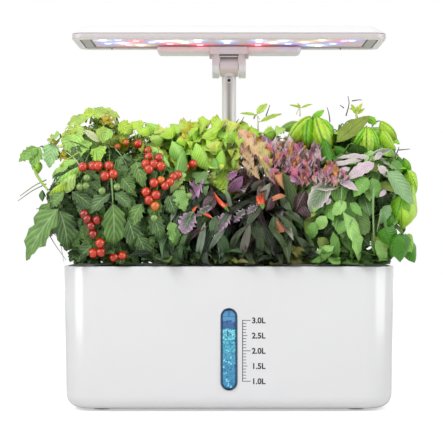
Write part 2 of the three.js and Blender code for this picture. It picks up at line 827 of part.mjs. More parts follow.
// Cable housing under the lamp's rear edge, with room for the hinge bracket
function cableHousing() {
  const halfDepth = housingDepth / 2;
  const centreY = lampDepth / 2 - halfDepth;
  const ring = (inset, height) => (
    roundedRing(housingWidth / 2 - inset, halfDepth - inset, housingCornerRadius, height, 0, centreY));
  const bottom = -fit - housingHeight;
  const outside = loft([ring(housingChamfer, bottom), ring(0, bottom + housingChamfer), ring(0, -fit)]);
  const inside = loft([
    ring(housingChamfer + housingWall, bottom + housingWall),
    ring(housingWall, bottom + housingWall + housingChamfer),
    ring(housingWall, overrun),
  ]);
  const bracketY = postY - lampY;
  const pocket = block(-bracketHalf - fit, bracketHalf + fit, -lampDepth, bracketY + bracketDepth / 2 + fit,
    bottom - overrun, overrun);
  return cut(solid(outside), inside, pocket);
}

// Pods: a net basket that hangs in the deck by its collar, with a growing sponge
function podBasket() {
  const inner = basketRadius - basketWall;
  const innerBottom = basketBottomRadius - basketWall;
  const cup = turned([
    [basketHole, -basketDepth],
    [basketBottomRadius, -basketDepth],
    [basketRadius, 0],
    [basketRadius, fit],
    [collarRadius, fit],
    [collarRadius, collarHeight - collarChamfer],
    [collarRadius - collarChamfer, collarHeight],
    [inner, collarHeight],
    [inner, 0],
    [innerBottom, basketWall - basketDepth],
    [basketHole, basketWall - basketDepth],
  ], basketSides);
  const half = basketSlotWidth / 2;
  const middle = -basketDepth / 2;
  const slot = () => block(-collarRadius, collarRadius, -half, half,
    middle - basketSlotHeight / 2, middle + basketSlotHeight / 2);
  return cut(solid(cup), slot(), slot().rotateZ(quarterTurn));
}

function podSponge() {
  const bottom = basketWall - basketDepth + fit;
  const inset = basketWall + fit;
  return upright(basketBottomRadius - inset, bottom, spongeTop, basketSides, basketRadius - inset);
}

// Foliage: each plant is a stem with arched leaves, kept inside its own cell of the garden
const leafSections = {
  pointed: { placeShares: [0, 0.4, 1], widthShares: [0.12, 1, 0.08] },
  blunt: { placeShares: [0, 0.75, 1], widthShares: [0.15, 1, 0.6] },
};

// A leaf from the stem at a height, over a horizontal run, rising or falling to its tip
function leaf({ height, azimuth, run, width, lift, arch, outline }) {
  const { placeShares, widthShares } = leafSections[outline];
  const rings = placeShares.map((share, i) => {
    const distance = run * share;
    const rise = height + lift * share + arch * 4 * share * (1 - share);
    const slope = lift + arch * 4 * (1 - 2 * share);
    const size = Math.hypot(run, slope);
    const [normalOut, normalUp] = [-slope / size * leafThickness / 2, run / size * leafThickness / 2];
    const half = width / 2 * widthShares[i];
    return [
      [distance + normalOut, 0, rise + normalUp],
      [distance - normalOut, -half, rise - normalUp],
      [distance - normalOut, half, rise - normalUp],
    ];
  });
  return loft(rings).rotateZ(azimuth);
}

// A drooping stalk of fruit, in two files along its outer half
const fruitPlaceShares = [0.55, 0.78, 1];

function fruitTruss({ height, azimuth, run, drop, fruitRadius, fruitLength }) {
  const stalkWidth = leafThickness * 2;
  const stalk = leaf({ height, azimuth, run, width: stalkWidth, lift: -drop, arch: 0, outline: 'blunt' });
  const fruits = fruitPlaceShares.flatMap((share) => [-1, 1].map((side) => {
    const fruit = new THREE.OctahedronGeometry(fruitRadius, 1).scale(1, 1, fruitLength / fruitRadius / 2);
    const place = fruit.translate(run * share, side * fruitRadius, height - drop * share - fruitLength / 4);
    return place.rotateZ(azimuth);
  }));
  return [stalk, ...fruits];
}

const noFruit = { trussCount: 0 };
const tomatoFruit = {
  trussCount: 1, run: 34, drop: 26, fruitRadius: 5.2, fruitLength: 10.4, heightShare: 0.5,
};
const pepperFruit = {
  trussCount: 1, run: 24, drop: 14, fruitRadius: 4.6, fruitLength: 18, heightShare: 0.75,
};
const tall = { stemHeight: 138, stemRadius: 2.4, leafCount: 14, lowestShare: 0.12, crownTopShare: 0.96 };
const middling = { stemHeight: 96, stemRadius: 2.2, leafCount: 12, lowestShare: 0.14, crownTopShare: 0.9 };
const rosette = { stemHeight: 26, stemRadius: 4, leafCount: 9, lowestShare: 0.3, crownTopShare: 1.5 };
const plantKinds = {
  tomato: {
    ...tall, leafRun: 98, width: 44, lowLift: -34, topLift: 14, arch: 18,
    outline: 'pointed', fruit: tomatoFruit,
  },
  pepper: {
    ...middling, leafRun: 60, width: 24, lowLift: -10, topLift: 24, arch: 12,
    outline: 'pointed', fruit: pepperFruit,
  },
  basil: {
    ...tall, leafRun: 88, width: 46, lowLift: -20, topLift: 14, arch: 18,
    outline: 'pointed', fruit: noFruit,
  },
  mint: {
    ...tall, leafRun: 92, width: 46, lowLift: -28, topLift: 10, arch: 18,
    outline: 'pointed', fruit: noFruit,
  },
  lettuce: {
    ...rosette, leafRun: 58, width: 48, lowLift: 104, topLift: 122, arch: 10,
    outline: 'blunt', fruit: noFruit,
  },
  purple: {
    ...middling, leafRun: 60, width: 38, lowLift: 0, topLift: 36, arch: 12,
    outline: 'blunt', fruit: noFruit,
  },
};

// Which plant stands in each pod, by row from the front and by column from the left
const planting = [
  [['tomato', 'tomatoLeaf'], ['pepper', 'pepperLeaf'], ['purple', 'purpleLeaf'], ['mint', 'variegatedLeaf']],
  [['tomato', 'tomatoLeaf'], ['lettuce', 'paleLettuce'], ['lettuce', 'redLettuce'], ['basil', 'basilLeaf']],
];

// A pod's share of the space above the deck, relative to the pod
function plantCell({ row, column, x, y }) {
  const half = columnPitch / 2;
  const halfGap = fit;
  const left = column === 0 ? -foliageReachX - x : -half + halfGap;
  const right = column === columnCount - 1 ? foliageReachX - x : half - halfGap;
  const front = row === 0 ? -foliageReachY - y : rowBoundaryY - y + halfGap;
  const rear = row === 0 ? rowBoundaryY - y - halfGap : foliageReachY - y;
  return { left, right, front, rear, bottom: spongeTop + fit, top: foliageTop - deckTop };
}

function reachInCell(cell, azimuth) {
  const [alongX, alongY] = [Math.cos(azimuth), Math.sin(azimuth)];
  const toSide = (alongX > 0 ? cell.right : cell.left) / alongX;
  const toEnd = (alongY > 0 ? cell.rear : cell.front) / alongY;
  return Math.min(Math.abs(toSide), Math.abs(toEnd));
}

// Room kept free for the post, the lowered hinge, the console and the opening lid
function keptFree(x, y) {
  const cellHeight = foliageTop + overrun;
  const post = upright(clampRadius + postGap, deckTop, cellHeight, smallSides).translate(0, postY, 0);
  const screwHalf = thumbScrewHeadRadius + postGap;
  const screw = block(-screwHalf, screwHalf, postY, foliageReachY + overrun,
    outerTubeTop - clampHeight - postGap, cellHeight);
  const hingeHalf = bracketHalf + pinHeadThickness + hingeGap;
  const hingeDepth = bracketDepth / 2 + hingeGap;
  const hinge = block(-hingeHalf, hingeHalf, postY - hingeDepth, postY + hingeDepth,
    innerTubeTop - hingeClearBelow, cellHeight);
  const controls = block(-consoleHalf - postGap, consoleHalf + postGap, consoleFront - postGap,
    foliageReachY + overrun, deckTop, consoleTop + buttonProud + postGap);
  const lidHalf = portWidth / 2 + lidLap + postGap;
  const lid = block(portX - lidHalf, portX + lidHalf, portY - portDepth / 2 - lidLap - postGap,
    foliageReachY + overrun, deckTop, deckTop + lidSweep);
  return [post, screw, hinge, controls, lid].map((shape) => shape.translate(-x, -y, -deckTop));
}

// The dense middle of a plant, which fills a share of its cell
const crownSpreadShare = 0.5;
const crownBottomShare = 0.1;

function crown(cell, stemHeight, crownTopShare) {
  const bottom = cell.bottom + stemHeight * crownBottomShare;
  const top = stemHeight * crownTopShare;
  const shape = new THREE.OctahedronGeometry(1, 1).scale(
    crownSpreadShare * (cell.right - cell.left) / 2,
    crownSpreadShare * (cell.rear - cell.front) / 2,
    (top - bottom) / 2,
  );
  return shape.translate((cell.left + cell.right) / 2, (cell.front + cell.rear) / 2, (bottom + top) / 2);
}

function plant(kind, place, firstAzimuth) {
  const habit = plantKinds[kind];
  const cell = plantCell(place);
  const { stemHeight, stemRadius, leafCount, lowestShare, crownTopShare, fruit } = habit;
  const stem = upright(stemRadius, cell.bottom, stemHeight, smallSides, stemRadius / 2);
  const shapes = [crown(cell, stemHeight, crownTopShare)];
  for (let i = 0; i < leafCount; i += 1) {
    const azimuth = firstAzimuth + i * leafTurn;
    const growthShare = i / (leafCount - 1);
    const heightShare = lowestShare + (1 - lowestShare) * growthShare;
    const lift = habit.lowLift + (habit.topLift - habit.lowLift) * growthShare;
    const run = Math.min(habit.leafRun, reachInCell(cell, azimuth));
    const height = stemHeight * heightShare;
    const { width, arch, outline } = habit;
    shapes.push(leaf({ height, azimuth, run, width, lift, arch, outline }));
  }
  for (let i = 0; i < fruit.trussCount; i += 1) {
    const azimuth = -quarterTurn + i * leafTurn;
    const height = stemHeight * fruit.heightShare;
    const run = Math.min(fruit.run, reachInCell(cell, azimuth) - fruit.fruitRadius);
    shapes.push(...fruitTruss({ ...fruit, height, azimuth, run }));
  }
  const [first, ...others] = shapes;
  const cellBlock = block(cell.left, cell.right, cell.front, cell.rear, rimRecess + rimGap, cell.top);
  const grown = join(first, ...others).intersect(solid(cellBlock)).add(solid(stem));
  return largestBody(cut(grown, ...keptFree(place.x, place.y)));
}

// Assemblies
function tankGroup() {
  const group = new THREE.Group();
  group.add(
    piece('tank_shell', tankShell(), 'whiteGloss'),
    piece('window_gasket', windowGasket(), 'navyRubber'),
    piece('window_lens', windowLens(), 'blueWindow'),
    piece('float_guide', floatGuide(), 'darkPlastic'),
    placed(piece('level_float', levelFloat(), 'floatBlue'), 0, floatClearance - guideFace, floatLevel),
    ...feet(),
  );
  return group;
}

function pumpGroup() {
  const group = placed(new THREE.Group(), 0, 0, pumpBottom);
  const impellerY = pumpFront + chamberDepth / 2;
  group.add(
    piece('pump_body', pumpBody(), 'darkPlastic'),
    piece('pump_cover', pumpCover(), 'darkPlastic'),
    placed(piece('impeller', impeller(), 'whiteGloss'), 0, impellerY, chamberHeight),
  );
  return group;
}

function postGroup() {
  const group = placed(new THREE.Group(), 0, postY, 0);
  const bore = innerTubeRadius + fit;
  const tubeBottom = socketBottom + socketWall + fit;
  const leadY = innerTubeRadius - innerTubeWall - leadRadius - fit;
  group.add(
    piece('outer_tube', pipe(outerTubeRadius, bore, tubeBottom, outerTubeTop), 'silver'),
    piece('height_clamp', heightClamp(), 'darkPlastic'),
    placed(piece('clamp_screw', thumbScrew(), 'darkPlastic'), 0, 0, outerTubeTop - clampHeight / 2),
    piece('inner_tube', innerTube(), 'silver'),
    placed(piece('hinge_head', hingeHead(), 'silver'), 0, 0, pivotHeight),
    placed(piece('set_screw', setScrew(), 'steel'), 0, 0, setScrewHeight),
    placed(piece('lamp_lead', lampLead(), 'rubber'), 0, leadY, 0),
  );
  return group;
}

function lampGroup() {
  const group = placed(new THREE.Group(), 0, lampY, bezelBottom);
  const hinge = placed(new THREE.Group(), 0, postY - lampY, pivotHeight - bezelBottom);
  hinge.add(
    piece('hinge_bracket', hingeBracket(), 'lampShell'),
    piece('hinge_pin', hingePin(), 'steel'),
    piece('hinge_nut', hingeNut(), 'steel'),
  );
  group.add(
    piece('lamp_bezel', lampBezel(), 'lampShell'),
    piece('lamp_tray', lampTray(), 'lampMetal'),
    piece('led_board', ledBoard(), 'ledBoard'),
    piece('lamp_cover', lampCover(), 'lampShell'),
    piece('cable_housing', cableHousing(), 'lampShell'),
    hinge,
  );
  return group;
}

function deckGroup() {
  const group = new THREE.Group();
  group.add(
    piece('deck_plate', deckPlate(), 'greyDeck'),
    piece('console_cover', consoleCover(), 'greyDeck'),
    piece('control_board', controlBoard(), 'circuitGreen'),
    placed(piece('power_jack', powerJack(), 'darkPlastic'), jackX, 0, deckTop + jackHeight),
    placed(piece('fill_lid', fillLid(), 'greyDeck'), portX, lidHinge.y, lidHinge.z),
    placed(piece('lid_pin', lidPin(), 'steel'), portX, lidHinge.y, lidHinge.z),
    placed(piece('riser_pipe', riserPipe(), 'whiteGloss'), 0, riserY, 0),
    pumpGroup(),
  );
  for (const [name, x] of buttonPlaces) {
    group.add(placed(piece(name, consoleButton(), 'whiteGloss'), x, consoleY, 0));
  }
  return group;
}

function podGroup(place) {
  const number = place.row * columnCount + place.column + 1;
  const [kind, look] = planting[place.row][place.column];
  const group = placed(new THREE.Group(), place.x, place.y, deckTop);
  group.add(
    piece(`pod_basket_${number}`, podBasket(), 'greyPod'),
    piece(`pod_sponge_${number}`, podSponge(), 'sponge'),
    piece(`plant_${number}`, plant(kind, place, number), look),
  );
  return group;
}

const group = new THREE.Group();
group.add(tankGroup(), deckGroup(), postGroup(), lampGroup(), ...podPlaces().map(podGroup));

export default group;
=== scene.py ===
import itertools
import math
import bmesh
import bpy
import numpy as np
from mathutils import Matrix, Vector


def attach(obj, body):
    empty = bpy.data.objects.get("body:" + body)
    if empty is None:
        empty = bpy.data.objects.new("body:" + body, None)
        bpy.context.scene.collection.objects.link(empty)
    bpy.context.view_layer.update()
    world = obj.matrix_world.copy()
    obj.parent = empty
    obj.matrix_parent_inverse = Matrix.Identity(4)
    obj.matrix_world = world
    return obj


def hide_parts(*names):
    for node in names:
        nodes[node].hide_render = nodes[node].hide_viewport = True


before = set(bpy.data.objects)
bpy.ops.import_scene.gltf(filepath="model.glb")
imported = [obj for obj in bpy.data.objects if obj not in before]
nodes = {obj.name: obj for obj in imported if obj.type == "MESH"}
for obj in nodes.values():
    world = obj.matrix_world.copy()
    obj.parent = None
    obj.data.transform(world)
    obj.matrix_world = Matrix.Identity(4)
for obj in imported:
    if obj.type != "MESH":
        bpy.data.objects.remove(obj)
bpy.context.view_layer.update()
mm = 0.001


# shaping by hand, in millimetres
def deselectAll():
    if bpy.context.object and bpy.context.object.mode != "OBJECT":
        bpy.ops.object.mode_set(mode="OBJECT")
    bpy.ops.object.select_all(action="DESELECT")


def openForShaping(name):
    piece = bpy.context.object
    piece.name = name
    piece.data.name = name
    bpy.ops.object.transform_apply(location=True, rotation=True, scale=True)
    bpy.ops.object.mode_set(mode="EDIT")
    bpy.ops.mesh.select_all(action="DESELECT")
    return piece


def openBlock(name, low, high):
    deselectAll()
    size = [(high[i] - low[i]) * mm for i in range(3)]
    centre = [(high[i] + low[i]) / 2 * mm for i in range(3)]
    bpy.ops.mesh.primitive_cube_add(size=1, location=centre)
    bpy.context.object.scale = size
    return openForShaping(name)


turnTo = {"x": (0, math.pi / 2, 0), "y": (math.pi / 2, 0, 0), "z": (0, 0, 0)}


def openRound(name, axis, centre, radius, length, sides=32):
    deselectAll()
    bpy.ops.mesh.primitive_cylinder_add(vertices=sides, radius=radius * mm, depth=length * mm,
                                        location=[c * mm for c in centre], rotation=turnTo[axis])
    return openForShaping(name)


def pick(piece, kind, test):
    # selects the faces, edges or verts whose middle (mm) and direction pass the test
    mesh = bmesh.from_edit_mesh(piece.data)
    bpy.ops.mesh.select_mode(type={"faces": "FACE", "edges": "EDGE", "verts": "VERT"}[kind])
    mesh = bmesh.from_edit_mesh(piece.data)
    mesh.normal_update()
    for part in getattr(mesh, kind):
        if kind == "faces":
            middle, way = part.calc_center_median(), part.normal
        elif kind == "edges":
            middle = (part.verts[0].co + part.verts[1].co) / 2
            way = (part.verts[1].co - part.verts[0].co).normalized()
        else:
            middle, way = part.co, part.normal
        part.select = bool(test(middle / mm, way))
    mesh.select_flush_mode()
    bmesh.update_edit_mesh(piece.data)


def bevel(width, segments, profile=0.5):
    bpy.ops.mesh.bevel(offset=width * mm, segments=segments, profile=profile, affect="EDGES")


def inset(width, depth=0, each=False):
    bpy.ops.mesh.inset(thickness=width * mm, depth=depth * mm, use_individual=each)


def extrude(x=0, y=0, z=0):
    bpy.ops.mesh.extrude_region_move(TRANSFORM_OT_translate={"value": (x * mm, y * mm, z * mm)})


def resize(factors, centre):
    bpy.ops.transform.resize(value=factors, center_override=[c * mm for c in centre])


def carve(piece, cutter):
    deselectAll()
    bpy.context.view_layer.objects.active = piece
    modifier = piece.modifiers.new("carve", "BOOLEAN")
    modifier.operation = "DIFFERENCE"
    modifier.solver = "EXACT"
    modifier.object = cutter
    bpy.ops.object.modifier_apply(modifier="carve")
    bpy.data.objects.remove(cutter)


def closeShape():
    bpy.ops.object.mode_set(mode="OBJECT")


def roundEdges(piece, test, width, segments):
    pick(piece, "edges", test)
    bevel(width, segments)


def boreThrough(piece, test, band):
    # insets the two end faces that pass the test and joins the holes they leave
    pick(piece, "faces", test)
    inset(band)
    bpy.ops.mesh.bridge_edge_loops()


def drill(piece, axis, centre, radius, length, sides=32):
    cutter = openRound("cutter", axis, centre, radius, length, sides)
    closeShape()
    carve(piece, cutter)


def plainBlock(name, low, high):
    block = openBlock(name, low, high)
    closeShape()
    return block


# tests for pick: parts whose direction runs along an axis or across it, level edges past a height, and faces
# that look up or down
def alongAxis(axis, least=0.9):
    return lambda middle, way: abs(getattr(way, axis)) > least


def acrossAxis(axis):
    return lambda middle, way: abs(getattr(way, axis)) < 0.1


standing, lying = alongAxis("z"), acrossAxis("z")


def rimAbove(height):
    return lambda middle, way: middle.z > height and lying(middle, way)


def rimBelow(height):
    return lambda middle, way: middle.z < height and lying(middle, way)


def facingUp(middle, way):
    return way.z > 0.99


def facingDown(middle, way):
    return way.z < -0.99


def dress(piece, body, finish, replaced=(), angle=35):
    deselectAll()
    bpy.context.view_layer.objects.active = piece
    piece.select_set(True)
    piece.data.materials.clear()
    piece.data.materials.append(bpy.data.materials[finish])
    bpy.ops.object.shade_smooth_by_angle(angle=math.radians(angle))
    piece.select_set(False)
    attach(piece, body)
    if replaced:
        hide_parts(*replaced)
    return piece


def placed(name, data):
    thing = bpy.data.objects.new(name, data)
    bpy.context.scene.collection.objects.link(thing)
    return thing


def copyOf(piece, name, x=0, y=0, z=0):
    twin = piece.copy()
    twin.data = piece.data.copy()
    twin.name = name
    twin.data.name = name
    bpy.context.scene.collection.objects.link(twin)
    for vert in twin.data.vertices:
        vert.co += Vector((x, y, z)) * mm
    return twin


def joined(name, pieces):
    deselectAll()
    for piece in pieces:
        piece.select_set(True)
    bpy.context.view_layer.objects.active = pieces[0]
    bpy.ops.object.join()
    pieces[0].name = name
    return pieces[0]


# materials, all procedural
def newMaterial(name, color, roughness, metallic=0.0):
    material = bpy.data.materials.new(name)
    material.use_nodes = True
    shader = material.node_tree.nodes["Principled BSDF"]
    shader.inputs["Base Color"].default_value = (*color, 1)
    shader.inputs["Roughness"].default_value = roughness
    shader.inputs["Metallic"].default_value = metallic
    return material.node_tree, shader


def addNode(tree, kind, **values):
    node = tree.nodes.new(kind)
    for key, value in values.items():
        if key in node.inputs:
            node.inputs[key].default_value = value
        else:
            setattr(node, key, value)
    return node


def mathNode(tree, operation, first, second=0.0, third=None, clamp=False):
    node = tree.nodes.new("ShaderNodeMath")
    node.operation = operation
    node.use_clamp = clamp
    for socket, value in zip(node.inputs, (first, second, third)):
        if value is None:
            continue
        if isinstance(value, (int, float)):
            socket.default_value = value
        else:
            tree.links.new(value, socket)
    return node.outputs[0]


def times(tree, first, second):
    return mathNode(tree, "MULTIPLY", first, second)


def mixColors(tree, factor, first, second, blend="MIX"):
    node = tree.nodes.new("ShaderNodeMix")
    node.data_type = "RGBA"
    node.blend_type = blend
    sockets = (node.inputs[0], node.inputs[6], node.inputs[7])
    for socket, value in zip(sockets, (factor, first, second)):
        if isinstance(value, (int, float)):
            socket.default_value = value
        elif isinstance(value, tuple):
            socket.default_value = (*value, 1)
        else:
            tree.links.new(value, socket)
    return node.outputs[2]


def paintOf(tree, layer="leafColor"):
    return addNode(tree, "ShaderNodeVertexColor", layer_name=layer).outputs["Color"]


def objectPlace(tree):
    return addNode(tree, "ShaderNodeTexCoord").outputs["Object"]


def noise(tree, place, scale, detail=3.0, roughness=0.5):
    node = addNode(tree, "ShaderNodeTexNoise", Scale=scale, Detail=detail, Roughness=roughness)
    tree.links.new(place, node.inputs["Vector"])
    return node.outputs["Fac"]


def bump(tree, shader, height, strength, distance):
    node = addNode(tree, "ShaderNodeBump", Strength=strength, Distance=distance)
    tree.links.new(height, node.inputs["Height"])
    tree.links.new(node.outputs["Normal"], shader.inputs["Normal"])
    return node


def plasticMaterial(name, color, roughness, grain=0.0, mottle=0.02):
    # moulded plastic: a faint change of tone and an orange-peel grain
    tree, shader = newMaterial(name, color, roughness)
    place = objectPlace(tree)
    tone = noise(tree, place, 18, 2)
    dark = tuple(c * (1 - mottle) for c in color)
    tree.links.new(mixColors(tree, tone, dark, color), shader.inputs["Base Color"])
    fine = noise(tree, place, 900, 2)
    rough = mathNode(tree, "MULTIPLY_ADD", fine, 0.08, roughness - 0.04)
    tree.links.new(rough, shader.inputs["Roughness"])
    if grain:
        bump(tree, shader, fine, grain, 0.0002)


def paintedLightFadeMaterial(name, lowColor, highColor, axis, level, span, roughness):
    # plastic with painted light: its tone changes along one axis, about a level in metres, lighter where the light
    # falls
    tree, shader = newMaterial(name, highColor, roughness)
    axes = addNode(tree, "ShaderNodeSeparateXYZ")
    place = objectPlace(tree)
    tree.links.new(place, axes.inputs[0])
    share = mathNode(tree, "MULTIPLY_ADD", axes.outputs[axis], 1 / span, 0.5 - level / span, True)
    cloud = times(tree, noise(tree, place, 18, 2), 0.06)
    tone = mixColors(tree, cloud, mixColors(tree, share, lowColor, highColor), (0.5, 0.5, 0.5))
    tree.links.new(tone, shader.inputs["Base Color"])
    bump(tree, shader, noise(tree, place, 900, 2), 0.03, 0.0002)


def brushedMaterial(name, color, roughness, along="z", metallic=1.0, core=0.0):
    # drawn metal: fine lines that run along one axis, and a painted dark reflection as a band along a tube's middle
    tree, shader = newMaterial(name, color, roughness, metallic)
    stretch = addNode(tree, "ShaderNodeMapping")
    stretch.inputs["Scale"].default_value = {"z": (1, 1, 0.02), "x": (0.02, 1, 1)}[along]
    tree.links.new(objectPlace(tree), stretch.inputs["Vector"])
    lines = noise(tree, stretch.outputs[0], 2200, 2)
    rough = mathNode(tree, "MULTIPLY_ADD", lines, 0.18, roughness - 0.09)
    tree.links.new(rough, shader.inputs["Roughness"])
    dark = tuple(c * 0.9 for c in color)
    tone = mixColors(tree, lines, dark, color)
    # a darker band along the tube's middle stands in for a dark reflection: painted reflection
    if core:
        axes = addNode(tree, "ShaderNodeSeparateXYZ")
        tree.links.new(objectPlace(tree), axes.inputs[0])
        aside = mathNode(tree, "ABSOLUTE", axes.outputs["X"])
        band = mathNode(tree, "MULTIPLY_ADD", aside, -220.0, 1.0, True)
        tone = mixColors(tree, times(tree, band, core), tone, (0.30, 0.27, 0.24))
    tree.links.new(tone, shader.inputs["Base Color"])
    bump(tree, shader, lines, 0.15, 0.0001)


# moulded pieces: colour, roughness, and for most the grain's depth and the mottle
plastics = {
    "tankWhite": ((0.80, 0.80, 0.81), 0.22, 0.02, 0.01), "buttonWhite": ((0.78, 0.78, 0.78), 0.35),
    "lampBeige": ((0.66, 0.60, 0.60), 0.32, 0.03), "coverWhite": ((0.93, 0.93, 0.93), 0.3, 0.02),
    "underWhite": ((1.0, 0.93, 0.94), 0.35, 0.02), "endGrey": ((0.52, 0.49, 0.47), 0.4, 0.05),
    "deckGrey": ((0.30, 0.31, 0.31), 0.5, 0.12, 0.06), "podGrey": ((0.36, 0.37, 0.38), 0.5, 0.1, 0.06),
    "darkPlastic": ((0.035, 0.037, 0.04), 0.48, 0.15, 0.1), "scaleInk": ((0.006, 0.006, 0.007), 0.5),
    "blackRubber": ((0.03, 0.03, 0.03), 0.8, 0.3, 0.2), "navyRubber": ((0.012, 0.075, 0.16), 0.45, 0.1, 0.1),
    "boardGreen": ((0.03, 0.16, 0.07), 0.45, 0.1, 0.25), "floatBlue": ((0.02, 0.10, 0.45), 0.35),
    "clearWhite": ((0.72, 0.75, 0.77), 0.2), "spongeBrown": ((0.06, 0.04, 0.025), 0.95, 0.9, 0.5),
    "screwDark": ((0.02, 0.02, 0.02), 0.5), "headScrew": ((0.85, 0.84, 0.82), 0.35),
}
# metal, or plastic that looks like it: colour, roughness, the lines' axis, then metallic and the share of the painted
# dark reflection
metals = {
    "tubeSilver": ((1.0, 0.99, 0.97), 0.4, "z", 0.05, 0.85), "headSilver": ((0.95, 0.82, 0.79), 0.42, "x", 0.05),
    "lampMetal": ((0.55, 0.52, 0.52), 0.45, "x"), "screwSteel": ((0.50, 0.50, 0.51), 0.35, "x"),
}
# pieces painted lighter towards the bottom, standing in for the light from below: low and high colour, axis, level,
# span and roughness
paintedLightFades = {
    "housingPink": ((0.98, 0.93, 0.94), (0.90, 0.72, 0.78), "Z", 0.3395, 0.005, 0.35),
    "bracketTone": ((1.0, 1.0, 0.99), (0.93, 0.80, 0.81), "Z", 0.3245, 0.003, 0.35),
}
for makeMaterial, looks in ((plasticMaterial, plastics), (brushedMaterial, metals), (paintedLightFadeMaterial, paintedLightFades)):
    for name, look in looks.items():
        makeMaterial(name, *look)
tankCoat = bpy.data.materials["tankWhite"].node_tree.nodes["Principled BSDF"].inputs
tankCoat["Coat Weight"].default_value = 0.35
tankCoat["Coat Roughness"].default_value = 0.12

carriedFinishes = {
    "float_guide": "darkPlastic", "level_float": "floatBlue", "deck_plate": "deckGrey",
    "control_board": "boardGreen", "power_jack": "darkPlastic", "lid_pin": "screwSteel",
    "riser_pipe": "clearWhite", "pump_body": "darkPlastic", "pump_cover": "darkPlastic",
    "impeller": "clearWhite", "lamp_lead": "blackRubber", "lamp_tray": "lampMetal",
}
for nodeName, finish in carriedFinishes.items():
    nodes[nodeName].data.materials.clear()
    nodes[nodeName].data.materials.append(bpy.data.materials[finish])
print("frame loaded and carried pieces finished")

# the camera, the lamps and the pale room
view = {"distance": 1.5525, "height": 0.1667, "focal": 1638.0, "centreU": 229.0, "centreV": 228.0,
        "frameSize": 443, "sensor": 36.0}
cameraData = bpy.data.cameras.new("photoCamera")
camera = placed("photoCamera", cameraData)
camera.location = (0, -view["distance"], view["height"])
camera.rotation_euler = (math.pi / 2, 0, 0)
cameraData.sensor_width = view["sensor"]
cameraData.lens = view["focal"] / view["frameSize"] * view["sensor"]
cameraData.shift_x = (view["frameSize"] / 2 - view["centreU"]) / view["frameSize"]
cameraData.shift_y = (view["centreV"] - view["frameSize"] / 2) / view["frameSize"]
cameraData.clip_start = 0.05
bpy.context.scene.camera = camera


def fromPhoto(u, v, depth):
    # the point in mm that the photograph shows at u, v, at a depth Y in mm
    away = view["distance"] * 1000 + depth
    return np.array([(u - view["centreU"]) / view["focal"] * away, depth,
                     view["height"] * 1000 - (v - view["centreV"]) / view["focal"] * away])


room = {"worldLight": 0.62, "floorSize": 8.0, "floorGlow": 0.5, "keyPower": 16.0, "fillPower": 5.0,
        "sheenPower": 13.0}


def softLamp(name, place, target, size, power):
    data = bpy.data.lights.new(name, "AREA")
    data.shape = "DISK"
    data.size = size
    data.energy = power
    light = placed(name, data)
    light.location = place
    light.rotation_euler = (Vector(target) - Vector(place)).to_track_quat("-Z", "Y").to_euler()
    return light


softLamp("keyLamp", (-0.9, -1.3, 1.5), (0, 0, 0.15), 1.2, room["keyPower"])
softLamp("fillLamp", (1.3, -0.9, 0.9), (0, 0, 0.15), 1.4, room["fillPower"])


def sheenPanel(name, place, width, height, power):
    # a tall soft panel at the side that only glossy surfaces mirror
    panel = softLamp(name, place, (0, 0, 0.1), width, power)
    panel.data.shape = "RECTANGLE"
    panel.data.size_y = height
    panel.visible_diffuse = False


sheenPanel("sheenLeft", (-1.36, -0.66, 0.35), 0.75, 1.3, room["sheenPower"])
sheenPanel("sheenRight", (1.42, -0.48, 0.35), 1.0, 1.3, room["sheenPower"])

world = bpy.data.worlds.new("paleRoom")
bpy.context.scene.world = world
world.use_nodes = True
worldTree = world.node_tree
background = worldTree.nodes["Background"]
seen = addNode(worldTree, "ShaderNodeLightPath")
direct = mathNode(worldTree, "MAXIMUM", seen.outputs["Is Camera Ray"], seen.outputs["Is Glossy Ray"])
direct = mathNode(worldTree, "MAXIMUM", direct, seen.outputs["Is Transmission Ray"])
level = mathNode(worldTree, "MULTIPLY_ADD", direct, 1 - room["worldLight"], room["worldLight"])
background.inputs["Color"].default_value = (1, 1, 1, 1)
worldTree.links.new(level, background.inputs["Strength"])

deselectAll()
bpy.ops.mesh.primitive_plane_add(size=room["floorSize"], location=(0, 0, -0.0002))
floor = bpy.context.object
floor.name = "paleFloor"
floorTree, floorShader = newMaterial("paleFloor", (0.86, 0.86, 0.86), 0.8)
floorPath = addNode(floorTree, "ShaderNodeLightPath")
glow = times(floorTree, floorPath.outputs["Is Camera Ray"], room["floorGlow"])
floorShader.inputs["Emission Color"].default_value = (1, 1, 1, 1)
floorTree.links.new(glow, floorShader.inputs["Emission Strength"])
floor.data.materials.append(bpy.data.materials["paleFloor"])
bpy.context.scene.view_settings.view_transform = "Standard"
print("camera, lamps and floor set")

# the tank, its window, scale and feet, in millimetres
tank = {"halfWidth": 151.6, "halfDepth": 72.5, "bottom": 2, "rim": 132, "corner": 30, "draft": 2,
        "wall": 2.5, "bottomFillet": 12, "rimFillet": 1, "ledgeTop": 126.2, "ledgeBottom": 121.5,
        "ledge": 3.5, "floorTop": 5, "innerFillet": 8, "footX": 117, "footY": 39.5, "footRadius": 8}


def frontFace(height):
    # depth in mm of the drafted front wall at a height
    return -(tank["halfDepth"] - tank["draft"] * (tank["rim"] - height) / (tank["rim"] - tank["bottom"]))


